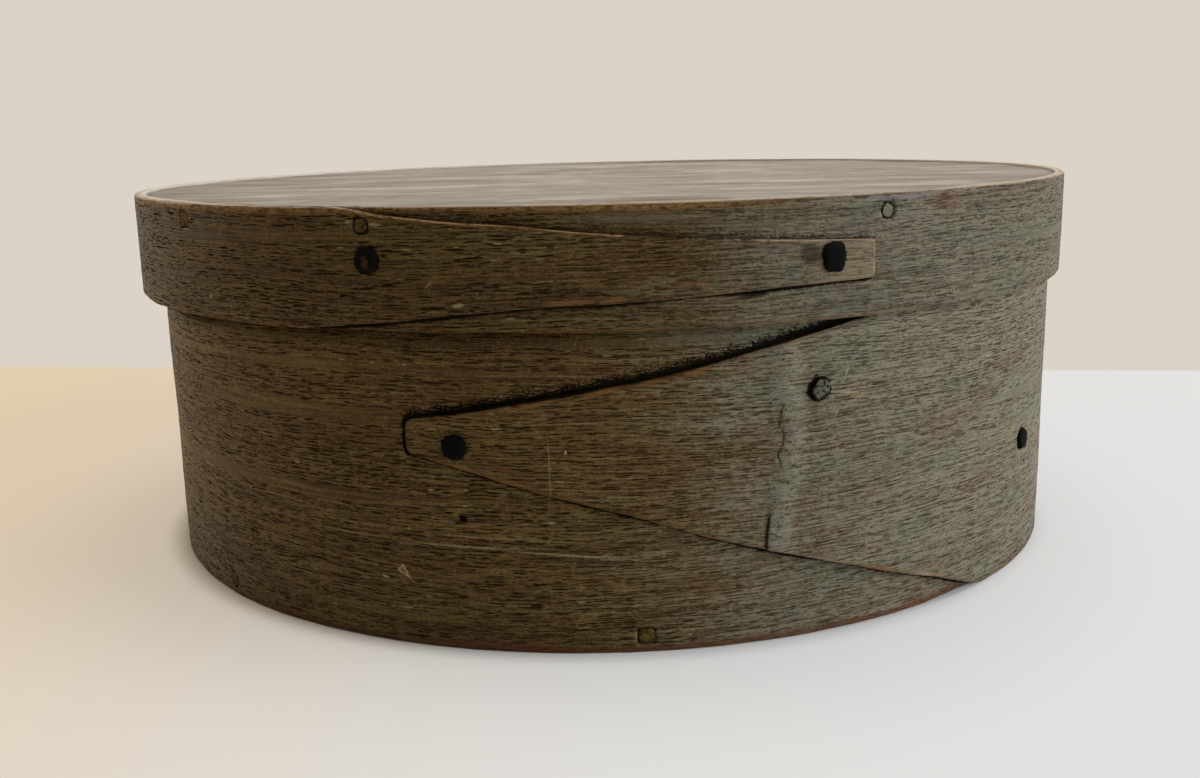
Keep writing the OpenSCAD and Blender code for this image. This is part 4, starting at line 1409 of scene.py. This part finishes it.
class PANTRY_OT_stage(bpy.types.Operator):
    """Makes the camera, the floor and the soft light"""

    bl_idname = "pantry.stage"
    bl_label = "Stage"

    def camera(self, stage):
        """The camera: forward, sideways and upward axes from its yaw, pitch and roll."""
        yaw, pitch, roll = stage.yaw, stage.pitch, stage.roll
        ahead = np.array([
            math.sin(yaw) * math.cos(pitch), math.cos(yaw) * math.cos(pitch), -math.sin(pitch)])
        level = np.array([math.cos(yaw), -math.sin(yaw), 0])
        down = np.cross(ahead, level)
        right = math.cos(roll) * level + math.sin(roll) * down
        down = math.cos(roll) * down - math.sin(roll) * level
        data = bpy.data.cameras.new("camera")
        data.sensor_fit = "HORIZONTAL"
        data.lens = data.sensor_width * stage.focal_pixels / PHOTO_WIDTH
        place = (0, -stage.camera_distance, stage.camera_height)
        bpy.context.scene.camera = self.put(data, place, [right, -down, -ahead])

    def lamp(self, name, power, size, tint, place):
        """A square soft light that looks at the box."""
        data = bpy.data.lights.new(name, "AREA")
        data.energy, data.size, data.color = power, size, tint
        look = np.array(LAMP_AIM) - np.array(place)
        back = -look / np.linalg.norm(look)
        side = np.cross([0, 0, 1], back)
        side = side / np.linalg.norm(side)
        self.put(data, place, [side, np.cross(back, side), back])

    def put(self, data, place, axes):
        """Puts a camera or lamp at a place, turned to its own three axes."""
        made = bpy.data.objects.new(data.name, data)
        made.matrix_world = Matrix.Translation(place) @ Matrix(np.stack(axes, 1).tolist()).to_4x4()
        bpy.context.scene.collection.objects.link(made)
        return made

    def world(self, stage):
        """Plain light all round, and a pale backdrop where the background is seen."""
        world = bpy.data.worlds.new("studio")
        steps = Steps(world)
        light = steps.node("Background", {"Color": stage.ambient_colour, "Strength": stage.ambient})
        backdrop = steps.node("Background", {"Color": stage.backdrop})
        mix = steps.node("MixShader", {0: steps.seen(), 1: light.outputs[0], 2: backdrop.outputs[0]})
        steps.node("OutputWorld", {"Surface": mix.outputs[0]})
        bpy.context.scene.world = world

    def floor(self, stage):
        """A pale floor that keeps the shadow, with a painted warm light towards the left, and shows the
        backdrop's colour beyond the wall line.
        """
        corners = np.array([(-1, -1, 0), (1, -1, 0), (1, 1, 0), (-1, 1, 0)]) * FLOOR_REACH
        mesh = bpy.data.meshes.new("floor")
        mesh.from_pydata(corners, [], [(0, 1, 2, 3)])
        floor = bpy.data.objects.new("floor", mesh)
        bpy.context.scene.collection.objects.link(floor)
        f = Finish("floor")
        place = f.place()
        x, y, _ = f.parts(place)
        f.coat(f.blend(f.rise(x, *FLOOR_TURNS), stage.warm_lit_floor, stage.floor_colour), 0.6, 0.2)
        line = stage.wall_line / MM
        turned = f.plus(y, f.times(x, math.tan(stage.wall_turn)))
        beyond = f.rise(turned, line, line + 2)
        level = f.blend(f.rise(x, *GLOW_TURNS), stage.warm_lit_glow, stage.glow)
        glow = f.node("Emission", {"Color": f.blend(beyond, level, stage.backdrop)})
        clear = f.rise(
            f.from_axis(place), stage.contact_radius / MM, stage.clear_radius / MM, stage.glow_share)
        shown = f.times(f.most(beyond, clear), f.seen())
        mix = f.node("MixShader", {0: shown, 1: f.surface.outputs[0], 2: glow.outputs[0]})
        f.feed(f.output.inputs["Surface"], mix.outputs[0])
        floor.data.materials.append(f.material)

    def execute(self, context):
        stage = settings("stage")
        context.scene.view_settings.view_transform = "Standard"
        self.camera(stage)
        self.floor(stage)
        self.world(stage)
        for name, (power, size, tint, place) in LAMPS.items():
            self.lamp(name, getattr(stage, power), size, tint, place)
        return {"FINISHED"}


class PANTRY_OT_bands(bpy.types.Operator):
    """Bends the two oak strips round the box and its lid"""

    bl_idname = "pantry.bands"
    bl_label = "Oak bands"

    def execute(self, context):
        for strip in both_strips().values():
            node = strip.name + "_band"
            points, values = bent_strip(strip)
            mesh = closed_mesh(node, points, values=values)
            add_piece(node, "painted_oak", mesh, PaintedOak(strip).material, strip.name)
        return {"FINISHED"}


class PANTRY_OT_boards(bpy.types.Operator):
    """Makes the pine bottom and top boards"""

    bl_idname = "pantry.boards"
    bl_label = "Pine boards"

    def execute(self, context):
        strips = both_strips()
        for node, (name, low, high, seed, turn) in BOARDS.items():
            strip = strips[name]
            points, poles = board(strip, low.z, high.z, seed)
            material = aged_pine("aged_pine_" + strip.name, turn, strip.sizes.board_radius / MM)
            add_piece(node, "aged_pine", closed_mesh(node, points, poles), material, strip.name)
        return {"FINISHED"}


class PANTRY_OT_tacks(bpy.types.Operator):
    """Forges the iron tacks and clinches them through the laps"""

    bl_idname = "pantry.tacks"
    bl_label = "Iron tacks"

    def execute(self, context):
        finishes = {"iron": forged_iron("iron", False), "painted_iron": forged_iron("painted_iron", True)}
        strips = both_strips()
        for node, (name, degrees, z, finish, outline) in TACKS.items():
            strip = strips[name]
            points, poles, values = tack(strip, strip.place(degrees), z * MM, outline)
            add_piece(node, finish, closed_mesh(node, points, poles, values), finishes[finish], name)
        return {"FINISHED"}


class PANTRY_OT_pegs(bpy.types.Operator):
    """Drives the wooden pegs through the bands into the boards"""

    bl_idname = "pantry.pegs"
    bl_label = "Wooden pegs"

    def execute(self, context):
        material = peg_wood()
        strips = both_strips()
        for seed, (node, (name, degrees, square, stand, dirt)) in enumerate(PEGS.items(), FIRST_PEG_SEED):
            strip = strips[name]
            points, poles, values = peg(strip, strip.place(degrees), square, stand * MM, dirt, seed)
            add_piece(node, "peg_wood", closed_mesh(node, points, poles, values), material, name)
        return {"FINISHED"}


class PANTRY_PT_sidebar(bpy.types.Panel):
    """Steps and settings of the pantry box"""

    bl_label = "Pantry Box"
    bl_space_type = "VIEW_3D"
    bl_region_type = "UI"
    bl_category = "Pantry Box"

    def draw(self, context):
        for operator in OPERATORS:
            self.layout.operator(operator.bl_idname)
        for name in GROUPS:
            box = self.layout.box()
            box.label(text=name.replace("_", " ").capitalize())
            group = settings(name)
            for key in group.bl_rna.properties.keys():
                if key not in ("rna_type", "name"):
                    box.prop(group, key)


GROUPS = {
    "base_strip": PantryBaseStrip, "lid_strip": PantryLidStrip, "fittings": PantryFittings,
    "finish": PantryFinish, "stage": PantryStage}
OPERATORS = (PANTRY_OT_stage, PANTRY_OT_bands, PANTRY_OT_boards, PANTRY_OT_tacks, PANTRY_OT_pegs)


def register():
    for group in GROUPS.values():
        bpy.utils.register_class(group)
    for name, group in GROUPS.items():
        setattr(bpy.types.Scene, "pantry_" + name, bpy.props.PointerProperty(type=group))
    for shown in (*OPERATORS, PANTRY_PT_sidebar):
        bpy.utils.register_class(shown)


def unregister():
    for shown in (PANTRY_PT_sidebar, *reversed(OPERATORS)):
        bpy.utils.unregister_class(shown)
    for name, group in GROUPS.items():
        delattr(bpy.types.Scene, "pantry_" + name)
        bpy.utils.unregister_class(group)


def main():
    """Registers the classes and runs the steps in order."""
    register()
    bpy.ops.pantry.stage()
    bpy.ops.pantry.bands()
    bpy.ops.pantry.boards()
    bpy.ops.pantry.tacks()
    bpy.ops.pantry.pegs()


if __name__ == "__main__":
    main()
